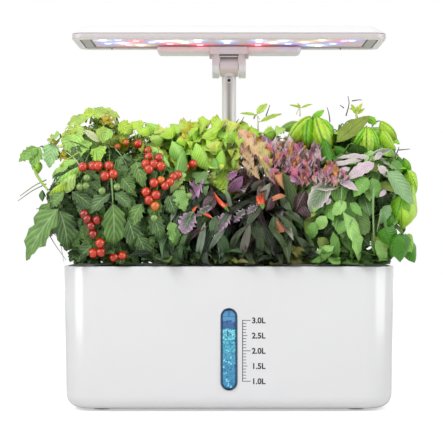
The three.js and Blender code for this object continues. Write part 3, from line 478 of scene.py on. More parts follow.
def makeTank():
    w, d, low, rim = tank["halfWidth"], tank["halfDepth"], tank["bottom"], tank["rim"]
    shell = openBlock("tankShell", (-w, -d, low), (w, d, rim))
    roundEdges(shell, standing, tank["corner"], 12)
    pick(shell, "verts", lambda c, n: c.z < low + 1)
    resize((1 - tank["draft"] / w, 1 - tank["draft"] / d, 1), (0, 0, low))
    roundEdges(shell, rimBelow(low + 1), tank["bottomFillet"], 6)
    roundEdges(shell, rimAbove(rim - 0.1), tank["rimFillet"], 3)
    pick(shell, "faces", lambda c, n: n.z > 0.99 and c.z > rim - 0.1)
    inset(tank["wall"] - tank["rimFillet"])
    extrude(z=tank["ledgeTop"] - rim)
    inset(tank["ledge"])
    extrude(z=tank["ledgeBottom"] - tank["ledgeTop"])
    extrude()
    inner = (w - tank["wall"] - tank["ledge"], d - tank["wall"] - tank["ledge"])
    resize(((inner[0] + tank["ledge"]) / inner[0], (inner[1] + tank["ledge"]) / inner[1], 1), (0, 0, 0))
    extrude(z=tank["floorTop"] + tank["innerFillet"] - tank["ledgeBottom"])
    resize((1 - tank["draft"] / w, 1 - tank["draft"] / d, 1), (0, 0, 0))
    extrude(z=-tank["innerFillet"] * 0.7)
    resize((1 - 2.4 / w, 1 - 2.4 / d, 1), (0, 0, 0))
    extrude(z=-tank["innerFillet"] * 0.3)
    resize((1 - 5.6 / w, 1 - 5.6 / d, 1), (0, 0, 0))
    closeShape()
    carve(shell, capsule("windowSlot", window["halfWidth"], window["halfHeight"], -80, -60))
    for x in (-tank["footX"], tank["footX"]):
        for y in (-tank["footY"], tank["footY"]):
            drill(shell, "z", (x, y, 1.5), tank["footRadius"] + 0.3, 4, 32)
    return dress(shell, "tank", "tankWhite", ("tank_shell",), 30)


window = {"halfWidth": 7.7, "halfHeight": 37.3, "centre": 57, "band": 1.3, "gap": 0.3}


def capsule(name, halfWidth, halfHeight, front, rear, closed=True):
    shape = openBlock(name, (-halfWidth, front, window["centre"] - halfHeight),
                      (halfWidth, rear, window["centre"] + halfHeight))
    roundEdges(shape, alongAxis("y"), halfWidth - 0.02, 14)
    if closed:
        closeShape()
    return shape


def makeWindow():
    # the gasket is a band with a rounded front lip, bridged from front to back
    w, h, gap = window["halfWidth"] - window["gap"], window["halfHeight"] - window["gap"], window["gap"]
    face = frontFace(window["centre"] + h) - 0.4
    gasket = capsule("windowGasket", w, h, face, -67.6, False)
    boreThrough(gasket, alongAxis("y", 0.99), window["band"])
    roundEdges(gasket, lambda c, n: c.y < face + 0.1 and abs(n.y) < 0.1, 0.35, 2)
    closeShape()
    dress(gasket, "tank", "navyRubber", ("window_gasket",), 30)

    inner = w - window["band"] - gap
    innerHeight = h - window["band"] - gap
    lens = capsule("windowLens", inner, innerHeight, face + 0.5, -67.2, False)
    roundEdges(lens, lambda c, n: c.y < face + 0.6 and abs(n.y) < 0.1, 0.4, 2)
    pick(lens, "faces", lambda c, n: n.y > 0.99)
    extrude(y=0.1)
    extrude()
    resize((10.4 / inner, 1, 40.0 / innerHeight), (0, 0, window["centre"]))
    extrude(y=0.9)
    closeShape()
    waterMaterial()
    dress(lens, "tank", "blueWater", ("window_lens",), 30)


def waterMaterial():
    # blue water behind the pane: bands by height, ripples near the surface, bubbles below painted as bright glints
    # and dark shaded spots
    tree, shader = newMaterial("blueWater", (0.06, 0.35, 0.75), 0.08)
    place = objectPlace(tree)
    axes = addNode(tree, "ShaderNodeSeparateXYZ")
    tree.links.new(place, axes.inputs[0])
    ramp = addNode(tree, "ShaderNodeValToRGB")
    height = mathNode(tree, "MULTIPLY_ADD", axes.outputs["Z"], 1 / 0.0746, -0.0197 / 0.0746)
    wobble = noise(tree, place, 160, 3)
    shifted = mathNode(tree, "MULTIPLY_ADD", wobble, 0.05, height)
    shifted = mathNode(tree, "ADD", shifted, -0.025)
    tree.links.new(shifted, ramp.inputs["Fac"])
    bands = ((0.0, (0.02, 0.16, 0.40)), (0.05, (0.03, 0.30, 0.56)), (0.30, (0.05, 0.36, 0.60)),
             (0.55, (0.08, 0.52, 0.68)), (0.62, (0.12, 0.68, 0.78)), (0.735, (0.16, 0.74, 0.80)),
             (0.745, (0.015, 0.11, 0.30)), (0.83, (0.02, 0.14, 0.36)), (0.845, (0.07, 0.28, 0.54)),
             (0.90, (0.08, 0.32, 0.58)), (0.99, (0.04, 0.19, 0.40)))
    stops = ramp.color_ramp.elements
    while len(stops) < len(bands):
        stops.new(0.5)
    for stop, (position, color) in zip(stops, bands):
        stop.position = position
        stop.color = (*color, 1)
    # mottled water, and bubbles with painted glints and painted shade, only under the water line
    below = mathNode(tree, "LESS_THAN", height, 0.70)
    mottle = mathNode(tree, "MULTIPLY_ADD", noise(tree, place, 620, 2), 5.0, -2.1, clamp=True)
    deep = times(tree, times(tree, mottle, below), 0.72)
    ripples = mixColors(tree, deep, ramp.outputs[0], (0.01, 0.17, 0.36))
    cells = addNode(tree, "ShaderNodeTexVoronoi", Scale=480.0)
    tree.links.new(place, cells.inputs["Vector"])
    spots = mathNode(tree, "LESS_THAN", cells.outputs["Distance"], 0.46)
    cellTone = addNode(tree, "ShaderNodeSeparateColor")
    tree.links.new(cells.outputs["Color"], cellTone.inputs[0])
    # bright spots are painted highlights on the bubbles
    bright = mathNode(tree, "GREATER_THAN", cellTone.outputs[0], 0.62)
    bubbleGlint = times(tree, times(tree, spots, bright), below)
    color = mixColors(tree, times(tree, bubbleGlint, 0.75), ripples, (0.32, 0.84, 0.92))
    # dark spots on the bubbles are painted shade
    dark = mathNode(tree, "LESS_THAN", cellTone.outputs[1], 0.45)
    shade = times(tree, times(tree, spots, dark), below)
    color = mixColors(tree, times(tree, shade, 0.75), color, (0.01, 0.14, 0.34))
    # dark ripples under the cap, the cap's middle bar and the two moulded lines
    ripple = mathNode(tree, "GREATER_THAN", noise(tree, place, 420, 3), 0.56)
    nearTop = mathNode(tree, "COMPARE", height, 0.755, 0.10)
    color = mixColors(tree, times(tree, ripple, nearTop), color, (0.008, 0.05, 0.26))
    bar = times(tree, mathNode(tree, "COMPARE", axes.outputs["X"], 0.0, 0.0011),
                mathNode(tree, "GREATER_THAN", height, 0.90))
    lineTop = mathNode(tree, "COMPARE", height, 0.898, 0.006)
    lineMid = mathNode(tree, "COMPARE", height, 0.605, 0.005)
    marks = mathNode(tree, "MAXIMUM", mathNode(tree, "MAXIMUM", bar, lineTop), lineMid)
    color = mixColors(tree, times(tree, marks, 0.8), color, (0.01, 0.15, 0.34))
    tree.links.new(color, shader.inputs["Base Color"])
    shader.inputs["Coat Weight"].default_value = 0.6
    bump(tree, shader, wobble, 0.1, 0.0004)


gauge = {"lineX": 12.3, "longTick": 19.5, "halfTick": 16.6, "shortTick": 15.5, "thick": 0.66,
         "proud": 0.12, "top": 83.2, "bottom": 28.1, "numberX": 20.6, "numberHeight": 7.2}


def makeGauge():
    # a printed scale with plain litre numbers, laid on the drafted front wall
    marks = []
    t = gauge["thick"] / 2

    def mark(left, right, low, high):
        marks.append(openBlock("mark", (left, -gauge["proud"], low), (right, 0.2, high)))
        roundEdges(marks[-1], lambda c, n: c.y < 0, 0.05, 1)
        closeShape()

    mark(gauge["lineX"] - t, gauge["lineX"] + t, gauge["bottom"] - t, gauge["top"] + t)
    for i in range(21):
        height = gauge["bottom"] + (gauge["top"] - gauge["bottom"]) * i / 20
        reach = gauge["longTick"] if i % 10 == 0 else gauge["halfTick"] if i % 5 == 0 else gauge["shortTick"]
        mark(gauge["lineX"] + t, reach, height - t * 0.8, height + t * 0.8)
        if i % 5 == 0:
            deselectAll()
            bpy.ops.object.text_add()
            words = bpy.context.object
            words.data.body = "%.1fL" % (1 + i / 10)
            words.data.size = gauge["numberHeight"] * mm
            words.data.extrude = 0.1 * mm
            words.data.offset = 0.2 * mm
            words.rotation_euler = (math.pi / 2, 0, 0)
            bpy.ops.object.convert(target="MESH")
            words = bpy.context.object
            words.location = (gauge["numberX"] * mm, 0, (height - 2.5) * mm)
            bpy.ops.object.transform_apply(location=True, rotation=True, scale=True)
            marks.append(words)
    scale = joined("levelScale", marks)
    for vert in scale.data.vertices:
        vert.co.y += frontFace(vert.co.z / mm) * mm
    dress(scale, "tank", "scaleInk", (), 20)


def makeFeet():
    x, y = tank["footX"], tank["footY"]
    first = openRound("footFrontLeft", "z", (-x, -y, 1.6), tank["footRadius"], 3.2, 40)
    roundEdges(first, rimBelow(0.1), 0.7, 3)
    pick(first, "faces", lambda c, n: n.z < -0.99 and c.z < 0.1)
    inset(2.5)
    inset(0.5, -0.4)
    closeShape()
    for name, node, right, back in (("footFrontRight", "foot_front_right", 2 * x, 0),
                                    ("footRearLeft", "foot_rear_left", 0, 2 * y),
                                    ("footRearRight", "foot_rear_right", 2 * x, 2 * y)):
        dress(copyOf(first, name, right, back), "tank", "blackRubber", (node,))
    dress(first, "tank", "blackRubber", ("foot_front_left",))


makeTank()
makeWindow()
makeGauge()
makeFeet()
print("tank, window and scale built")

# the deck's pieces: post, console, lid and pods
post = {"y": 52, "outerRadius": 9, "outerBore": 7.3, "outerBottom": 107.8, "outerTop": 255, "innerRadius": 7,
        "innerBore": 6, "innerBottom": 145, "innerTop": 314.6, "screwY": 44, "screwZ": 310.6, "screwHole": 1.8}
clamp = {"radius": 12.5, "middle": 247.75, "height": 17.5, "fillet": 1.4, "bore": 9.3, "boreDepth": 16.3,
         "lipBore": 7.3, "screwZ": 247, "screwBore": 2.3, "knobY": 67.8, "knobRadius": 5, "knobLength": 6}

console = {"halfWidth": 62, "front": 38.5, "rear": 68, "bottom": 129.3, "top": 141.5, "corner": 6,
           "fillet": 1.5, "wall": 1.8, "postBore": 9.3, "jackX": -40, "jackZ": 136.5, "jackBore": 4.3}
button = {"lightX": 26, "pumpX": 46, "y": 53.25, "radius": 4.5, "bore": 4.8, "middle": 140.2, "length": 5.8,
          "flange": 6, "flangeTop": 137.3}


def makeConsole():
    low, top, wall = console["bottom"], console["top"], console["wall"]
    cover = openBlock("consoleCover", (-console["halfWidth"], console["front"], low),
                      (console["halfWidth"], console["rear"], top))
    roundEdges(cover, standing, console["corner"], 8)
    roundEdges(cover, rimAbove(top - 0.1), console["fillet"], 4)
    pick(cover, "faces", lambda c, n: n.z < -0.99 and c.z < low + 0.1)
    inset(wall)
    extrude(z=top - wall - low)
    closeShape()
    drill(cover, "z", (0, post["y"], 135), console["postBore"], 22, 40)
    for x in (button["lightX"], button["pumpX"]):
        drill(cover, "z", (x, button["y"], 142), button["bore"], 9, 40)
    drill(cover, "y", (console["jackX"], 67, console["jackZ"]), console["jackBore"], 8, 32)
    dress(cover, "deck", "deckGrey", ("console_cover",), 30)


def makeButton(name, body, x):
    # a dished cap with a flange that keeps it in the cover
    y, radius = button["y"], button["radius"]
    cap = openRound(name + "Cap", "z", (x, y, button["middle"]), radius, button["length"], 36)
    roundEdges(cap, rimAbove(143), 0.7, 3)
    pick(cap, "faces", facingUp)
    inset(0.7)
    inset(0.9, -0.25)
    pick(cap, "faces", facingDown)
    extrude()
    resize((button["flange"] / radius, button["flange"] / radius, 1), (x, y, button["flangeTop"]))
    extrude(z=1.0)
    closeShape()
    dress(cap, body, "buttonWhite", (name,))


lid = {"left": 88, "right": 122, "front": 38, "rear": 64, "bottom": 129.3, "top": 131.1, "corner": 3, "grip": 2.2,
       "hingeY": 66.3, "hingeZ": 131.3, "barrel": 2.0, "barrelLength": 16, "pinWall": 0.9}


def makeLid():
    middle, half = (lid["left"] + lid["right"]) / 2, lid["barrelLength"] / 2
    plate = openBlock("fillLid", (lid["left"], lid["front"], lid["bottom"]), (lid["right"], lid["rear"], lid["top"]))
    roundEdges(plate, standing, lid["corner"], 6)
    roundEdges(plate, rimAbove(lid["top"] - 0.1), 0.6, 2)
    pick(plate, "faces", facingUp)
    inset(lid["grip"])
    inset(0.5, -0.4)
    closeShape()
    barrel = openRound("lidBarrel", "x", (middle, lid["hingeY"], lid["hingeZ"]), lid["barrel"], 2 * half, 24)
    boreThrough(barrel, alongAxis("x", 0.99), lid["pinWall"])
    closeShape()
    neck = openBlock("lidNeck", (middle - half, 61, lid["bottom"]), (middle + half, 65.2, lid["top"]))
    roundEdges(neck, lambda c, n: c.z > 131 and abs(n.x) > 0.9, 0.4, 2)
    closeShape()
    dress(joined("fillLid", [plate, barrel, neck]), "lid", "deckGrey", ("fill_lid",))


podPlaces = {str(row * 4 + column + 1): (x, y) for row, y in enumerate((-38, 14))
             for column, x in enumerate((-105, -35, 35, 105))}
basket = {"collarRadius": 20, "collarTop": 132.5, "collarBottom": 129.3, "collarFillet": 0.8, "cupRadius": 17,
          "bottomRadius": 13, "bottom": 89, "wall": 1.2, "hole": 6, "slotHalf": 1.6, "slotLow": 96, "slotHigh": 122}
sponge = {"middle": 110.2, "length": 39.4, "radius": 11.4, "topRadius": 15.3}


def copyToPods(first, name, node, finish):
    # the piece is modelled at pod 1, copied to the others, and dressed last itself
    firstX, firstY = podPlaces["1"]
    for number in "23456781":
        x, y = podPlaces[number]
        piece = first if number == "1" else copyOf(first, name + number, x - firstX, y - firstY)
        dress(piece, "pod_" + number, finish, (node + number,))


def makeBaskets():
    # a collar turned into a tapered net cup; the slots are carved through its wall
    x, y = podPlaces["1"]
    top, rim, low, wall = basket["collarTop"], basket["collarBottom"], basket["bottom"], basket["wall"]
    collar, cupRadius, bottomRadius = basket["collarRadius"], basket["cupRadius"], basket["bottomRadius"]
    cup = openRound("podBasket_1", "z", (x, y, (top + rim) / 2), collar, top - rim, 40)
    roundEdges(cup, rimAbove(top - 0.1), basket["collarFillet"], 3)
    pick(cup, "faces", lambda c, n: n.z < -0.99 and c.z < rim + 0.1)
    inset(collar - cupRadius)
    extrude(z=low - rim)
    resize((bottomRadius / cupRadius, bottomRadius / cupRadius, 1), (x, y, low))
    pick(cup, "faces", lambda c, n: n.z > 0.99 and c.z > top - 0.1)
    inset(collar - basket["collarFillet"] - cupRadius + wall)
    extrude(z=rim - top)
    extrude(z=low + wall - rim)
    taper = (bottomRadius - wall) / (cupRadius - wall)
    resize((taper, taper, 1), (x, y, low))
    closeShape()
    for turn in range(4):
        slot = openBlock("slot", (-22, -basket["slotHalf"], basket["slotLow"]),
                         (22, basket["slotHalf"], basket["slotHigh"]))
        roundEdges(slot, alongAxis("x"), 1.5, 4)
        closeShape()
        slot.rotation_euler = (0, 0, turn * math.pi / 4)
        slot.location = (x * mm, y * mm, 0)
        carve(cup, slot)
    drill(cup, "z", (x, y, low), basket["hole"], 6, 24)
    copyToPods(cup, "podBasket_", "pod_basket_", "podGrey")


def makeSponges():
    x, y = podPlaces["1"]
    plug = openRound("podSponge_1", "z", (x, y, sponge["middle"]), sponge["radius"], sponge["length"], 28)
    flare = sponge["topRadius"] / sponge["radius"]
    pick(plug, "verts", lambda c, n: c.z > 120)
    resize((flare, flare, 1), (x, y, 120))
    pick(plug, "faces", lambda c, n: n.z > 0.9)
    inset(4)
    inset(4, 0.8)
    roundEdges(plug, lambda c, n: c.z > 129 and abs(n.z) < 0.2, 0.5, 2)
    closeShape()
    copyToPods(plug, "podSponge_", "pod_sponge_", "spongeBrown")


makeConsole()
makeButton("button_light", "light_button", button["lightX"])
makeButton("button_pump", "pump_button", button["pumpX"])
makeLid()
makeBaskets()
makeSponges()
print("console, lid and pods built")


def makeTube(name, radius, bore, bottom, top):
    tube = openRound(name, "z", (0, post["y"], (bottom + top) / 2), radius, top - bottom, 48)
    boreThrough(tube, alongAxis("z", 0.99), radius - bore)
    roundEdges(tube, lying, 0.25, 2)
    closeShape()
    return tube


def makePost():
    outer = makeTube("outerTube", post["outerRadius"], post["outerBore"], post["outerBottom"], post["outerTop"])
    dress(outer, "deck", "tubeSilver", ("outer_tube",))
    inner = makeTube("innerTube", post["innerRadius"], post["innerBore"], post["innerBottom"], post["innerTop"])
    drill(inner, "y", (0, post["screwY"], post["screwZ"]), post["screwHole"], 8, 20)
    dress(inner, "mast", "tubeSilver", ("inner_tube",))


def makeClamp():
    # a ring with a wide bore for the outer tube and a narrow lip for the inner one
    y, radius, fillet, bore, lipBore = post["y"], clamp["radius"], clamp["fillet"], clamp["bore"], clamp["lipBore"]

    def fromAxis(c):
        return (c.xy - Vector((0, y))).length

    ring = openRound("heightClamp", "z", (0, y, clamp["middle"]), radius, clamp["height"], 48)
    roundEdges(ring, lying, fillet, 4)
    pick(ring, "faces", facingDown)
    inset(radius - fillet - bore)
    extrude(z=clamp["boreDepth"])
    resize((lipBore / bore, lipBore / bore, 1), (0, y, 255))
    pick(ring, "faces", lambda c, n: n.z > 0.99 and c.z > 256)
    inset(radius - fillet - lipBore)
    bpy.ops.mesh.delete(type="FACE")
    pick(ring, "faces", lambda c, n: n.z < -0.5 and 254 <= c.z <= 255.6 and fromAxis(c) < 1)
    bpy.ops.mesh.delete(type="FACE")
    pick(ring, "edges", lambda c, n: c.z > 255 and lipBore - 0.2 <= fromAxis(c) <= lipBore + 0.1 and lying(c, n))
    bpy.ops.mesh.bridge_edge_loops()
    closeShape()
    drill(ring, "y", (0, 65, clamp["screwZ"]), clamp["screwBore"], 14, 24)
    dress(ring, "deck", "darkPlastic", ("height_clamp",))

    # the knob: every second facet is sunk for the grip, and a shank reaches into the ring
    knob = openRound("clampScrew", "y", (0, clamp["knobY"], clamp["screwZ"]), clamp["knobRadius"],
                     clamp["knobLength"], 36)
    roundEdges(knob, acrossAxis("y"), 0.8, 3)
    facets = itertools.count()
    pick(knob, "faces", lambda c, n: next(facets) % 2 == 1 and abs(n.y) < 0.05)
    inset(0.08, -0.25, True)
    pick(knob, "faces", lambda c, n: n.y < -0.99 and c.y < 65)
    inset(2.2)
    extrude(y=-3.4)
    closeShape()
    dress(knob, "deck", "darkPlastic", ("clamp_screw",))


def paintLightOnFaces(piece, finish, chosen):
    # the chosen faces, by their middle in millimetres and their normal, take a second material, here for painted
    # shade or painted glow
    piece.data.materials.append(bpy.data.materials[finish])
    for face in piece.data.polygons:
        if chosen(Vector(face.center) / mm, face.normal):
            face.material_index = len(piece.data.materials) - 1


def openSide(name, side, near, far, front, rear, low, high):
    # a block between two distances from the middle, on the left (-1) or the right (1)
    left, right = sorted((side * near, side * far))
    return openBlock(name, (left, front, low), (right, rear, high))


# the lamp and its hinge
hinge = {"z": 324.5, "barrel": 9.6, "barrelHalf": 9.1, "pinBore": 3.3, "pinRadius": 3, "headRadius": 5,
         "neckRadius": 7, "neckWall": 1.3, "earInner": 9.4, "earOuter": 16.4, "earReach": 11, "earCorner": 8.5,
         "sinkRadius": 5.2, "sinkFrom": 14.9, "screwRadius": 2.4}
saddle = {"halfWidth": 18.4, "front": 37, "rear": 67, "bottom": 335.6, "top": 342.7, "clipFrom": 16.6, "clipTo": 19.0}


def makeHingeHead():
    y, z = post["y"], hinge["z"]
    barrel = openRound("hingeHead", "x", (0, y, z), hinge["barrel"], 2 * hinge["barrelHalf"], 48)
    roundEdges(barrel, acrossAxis("x"), 0.4, 2)
    boreThrough(barrel, alongAxis("x", 0.99), hinge["barrel"] - 0.4 - hinge["pinBore"])
    closeShape()
    neck = openRound("hingeNeck", "z", (0, y, 315.9), hinge["neckRadius"], 2.0, 48)
    pick(neck, "faces", facingDown)
    inset(hinge["neckWall"])
    extrude(z=-15)
    pick(neck, "faces", facingUp)
    extrude(z=2.5)
    closeShape()
    dress(joined("hingeHead", [barrel, neck]), "mast", "headSilver", ("hinge_head",))
    # the set screw that holds the head on the tube, with painted shade in the hollow of its key
    screwZ = post["screwZ"]
    screw = openRound("setScrew", "y", (0, 44.1, screwZ), hinge["screwRadius"], 1.4, 24)
    pick(screw, "faces", lambda c, n: n.y < -0.99)
    inset(0.75)
    extrude(y=0.9)
    pick(screw, "faces", lambda c, n: n.y > 0.99 and c.y > 44.5)
    inset(0.9)
    extrude(y=5)
    closeShape()
    dress(screw, "mast", "headScrew", ("set_screw",), 30)
    # the faces of the key's hollow are painted near black: painted shade
    paintLightOnFaces(screw, "screwDark", lambda c, n: math.hypot(c.x, c.z - screwZ) < 1.7 and c.y < 44.6)


def makeBracket():
    # a saddle block whose two ears are drawn as rounded slabs round the pin
    y, z, reach = post["y"], hinge["z"], hinge["earReach"]
    block = openBlock("hingeBracket", (-saddle["halfWidth"], saddle["front"], saddle["bottom"]),
                      (saddle["halfWidth"], saddle["rear"], saddle["top"]))
    roundEdges(block, standing, 1.2, 3)
    roundEdges(block, rimBelow(336), 0.5, 2)
    closeShape()
    pieces = [block]
    for side in (-1, 1):
        ear = openSide("hingeEar", side, hinge["earInner"], hinge["earOuter"], y - reach, y + reach, z - reach, 342.0)
        roundEdges(ear, lambda c, n: abs(n.x) > 0.9 and c.z < z, hinge["earCorner"], 10)
        roundEdges(ear, lambda c, n: abs(n.x) < 0.1 and c.z < 341, 0.5, 2)
        closeShape()
        pieces.append(ear)
    bracket = joined("hingeBracket", pieces)
    sink, start = hinge["sinkRadius"], hinge["sinkFrom"]
    for radius, near, far in ((hinge["pinBore"], -25, 25), (sink, -25, -start), (sink, start, 25)):
        drill(bracket, "x", ((near + far) / 2, y, z), radius, far - near, 32)
    # the bracket, its pin and its nut are painted lighter towards the bottom: painted light from below
    dress(bracket, "lamp", "bracketTone", ("hinge_bracket",), 30)

    # the pin's head and its nut lie in the ears' hollows
    pin = openRound("hingePin", "x", (0.8, y, z), hinge["pinRadius"], 31.6, 32)
    pick(pin, "faces", lambda c, n: n.x < -0.99)
    extrude()
    resize((1, hinge["headRadius"] / hinge["pinRadius"], hinge["headRadius"] / hinge["pinRadius"]), (0, y, z))
    extrude(x=-1.4)
    roundEdges(pin, lambda c, n: abs(n.x) < 0.1 and abs(c.x) > 16, 0.3, 2)
    closeShape()
    dress(pin, "lamp", "bracketTone", ("hinge_pin",), 30)
    nut = openRound("hingeNut", "x", (15.7, y, z), hinge["headRadius"], 1.4, 6)
    roundEdges(nut, acrossAxis("x"), 0.25, 2)
    boreThrough(nut, alongAxis("x", 0.99), 1.6)
    closeShape()
    dress(nut, "lamp", "bracketTone", ("hinge_nut",), 30)

    # a dark sheet under the saddle that stands in for the shade of the gap over the barrel (painted shade), and a
    # dark edged clip beside each ear
    gapShade = plainBlock("saddlePad", (-9.3, 41, 335.1), (9.3, 48, 335.7))
    dress(gapShade, "lamp", "darkPlastic", (), 30)
    for side in (-1, 1):
        clip = openSide("saddleClip", side, saddle["clipFrom"], saddle["clipTo"], 38, 44, 331.4, 335.7)
        roundEdges(clip, alongAxis("y"), 0.4, 2)
        closeShape()
        dress(clip, "lamp", "endGrey", (), 30)


lamp = {"halfWidth": 147, "front": -30, "rear": 70, "bottom": 343, "rim": 348, "corner": 12, "border": 11.5,
        "fillet": 0.9, "top": 356.3, "slope": 11, "coverWall": 1.8, "coverDepth": 5.5, "boardHalf": 131,
        "boardFront": -12, "boardRear": 52, "boardBottom": 344.4, "boardTop": 346, "endReach": 140,
        # the small dark clips of the bezel's rear edge, by their pixels u, v
        "clips": ((112, 48), (170.8, 45.6), (207.5, 46), (244.3, 46), (340.3, 48))}
housing = {"halfWidth": 70, "front": 38, "rear": 70, "bottom": 336.5, "top": 342.7, "corner": 5, "fillet": 3.6}


def openSlab(name, low, high, insetBy=0.0):
    slab = openBlock(name, (-lamp["halfWidth"] + insetBy, lamp["front"] + insetBy, low),
                     (lamp["halfWidth"] - insetBy, lamp["rear"] - insetBy, high))
    roundEdges(slab, standing, max(lamp["corner"] - insetBy, 0.6), 10)
    return slab


def makeBezel():
    # a frame with a lip for the tray, softly rounded outer edges and sloped ends in its opening
    low, front, rear = lamp["bottom"], lamp["boardFront"], lamp["boardRear"]
    bezel = openSlab("lampBezel", low, lamp["rim"])
    roundEdges(bezel, lying, lamp["fillet"], 3)
    boreThrough(bezel, alongAxis("z", 0.99), lamp["border"] - lamp["fillet"])
    roundEdges(bezel, lambda c, n: c.z < low + 0.1 and lying(c, n) and abs(c.x) < 136 and -19 <= c.y <= 59, 0.5, 2)
    closeShape()
    rebate = openSlab("rebate", lamp["boardTop"], 349, 3)
    closeShape()
    carve(bezel, rebate)
    near, far = lamp["boardHalf"] + 0.4, lamp["endReach"]
    for side in (-1, 1):
        notch = openSide("endNotch", side, near, far, front - 6, rear + 6, 340, 345.6)
        closeShape()
        carve(bezel, notch)
        # the sloped end walls are painted grey, standing in for the shade inside the opening: painted shade
        end = openSide("lampEnd", side, near, far, front - 6, rear + 6, lamp["boardBottom"], 345.5)
        pick(end, "verts", lambda c, n: c.z < 344.5 and abs(c.x) > far - 0.1)
        bpy.ops.transform.translate(value=(0, 0, -1.2 * mm))
        closeShape()
        dress(end, "lamp", "endGrey", (), 30)
        # thin dark strips at the board's end and at the opening's edge stand in for shade: painted shadow lines
        for start, reach, base in ((129.8, 131.2, 344.15), (139.3, 140.1, 342.9)):
            edge = openSide("endEdge", side, start, reach, front, rear, base, base + 0.3)
            closeShape()
            dress(edge, "lamp", "darkPlastic", (), 30)
    dress(bezel, "lamp", "lampBeige", ("lamp_bezel",), 30)
    # faces that look down take a lighter, pinker copy of the bezel's colour: painted glow from the lamp
    paintLightOnFaces(bezel, "underWhite", lambda c, n: n.z < -0.6)
    for u, v in lamp["clips"]:
        x, y, z = fromPhoto(u, v, rear + 5)
        clip = plainBlock("lampClip", (x - 0.5, y - 1.5, low - 0.9), (x + 0.5, y + 1.5, low + 0.1))
        dress(clip, "lamp", "darkPlastic", (), 30)


def makeCover():
    middle, half = (lamp["front"] + lamp["rear"]) / 2, (lamp["rear"] - lamp["front"]) / 2

    def narrowTop(amount):
        resize((1 - amount / lamp["halfWidth"], 1 - amount / half, 1), (0, middle, lamp["top"]))

    cover = openSlab("lampCover", lamp["rim"] + 0.3, lamp["top"])
    pick(cover, "verts", lambda c, n: c.z > lamp["top"] - 0.1)
    narrowTop(lamp["slope"])
    roundEdges(cover, rimAbove(lamp["top"] - 0.1), 2.2, 4)
    roundEdges(cover, rimBelow(lamp["rim"] + 0.4), 0.5, 2)
    pick(cover, "faces", facingDown)
    inset(lamp["coverWall"])
    extrude(z=lamp["coverDepth"])
    narrowTop(9.0)
    closeShape()
    dress(cover, "lamp", "coverWhite", ("lamp_cover",), 30)


def makeHousing():
    # the cable housing under the rear edge, with a pocket for the saddle
    half = housing["halfWidth"]
    shell = openBlock("cableHousing", (-half, housing["front"], housing["bottom"]),
                      (half, housing["rear"], housing["top"]))
    roundEdges(shell, standing, housing["corner"], 6)
    roundEdges(shell, rimBelow(337), housing["fillet"], 4)
    pick(shell, "faces", facingUp)
    inset(2)
    extrude(z=-2.4)
    resize((0.96, 0.8, 1), (0, 54, 340))
    closeShape()
    carve(shell, plainBlock("pocket", (-18.7, 20, 334), (18.7, 67.3, 345)))
    # the housing is painted lighter towards its bottom: painted light from below
    dress(shell, "lamp", "housingPink", ("cable_housing",), 30)


ledColors = {"white": (0.80, 0.90, 1.0), "blue": (0.24, 0.42, 1.0), "red": (1.0, 0.17, 0.24),
             "warm": (1.0, 0.80, 0.55)}
# each chip's pixels u, v and its colour
ledPlaces = [(103, 40, "white"), (108, 43.2, "blue"), (118, 39.6, "blue"), (123, 43, "white"), (129, 44.6, "red"),
             (136, 40.6, "red"), (141, 45, "warm"), (152, 42, "blue"), (162, 41, "white"), (170, 43.6, "red"),
             (176, 40.6, "white"), (185, 42.4, "warm"), (198, 39.8, "white"), (198, 41.6, "blue"),
             (200, 44.6, "red"), (227, 40.8, "white"), (227, 42.6, "blue"), (259, 39.8, "white"),
             (259, 41.6, "blue"), (258, 44.6, "red"), (273, 42.4, "warm"), (284, 40.4, "white"),
             (288, 43.4, "blue"), (305, 42, "warm"), (310, 45, "blue"), (322, 40, "warm"),
             (318, 45.4, "white"), (333, 43.4, "blue"), (344, 40.6, "red"), (352, 40.4, "blue")]
led = {"radius": 2.2, "stretch": 1.5, "topRow": 39.05, "rowDepth": 8.48, "haloX": 8.5, "haloY": 12.0, "coreX": 5.0,
       "coreY": 6.5, "boardTone": (0.86, 0.70, 0.75, 1.0), "boardGlow": (0.10, 0.05, 0.06)}


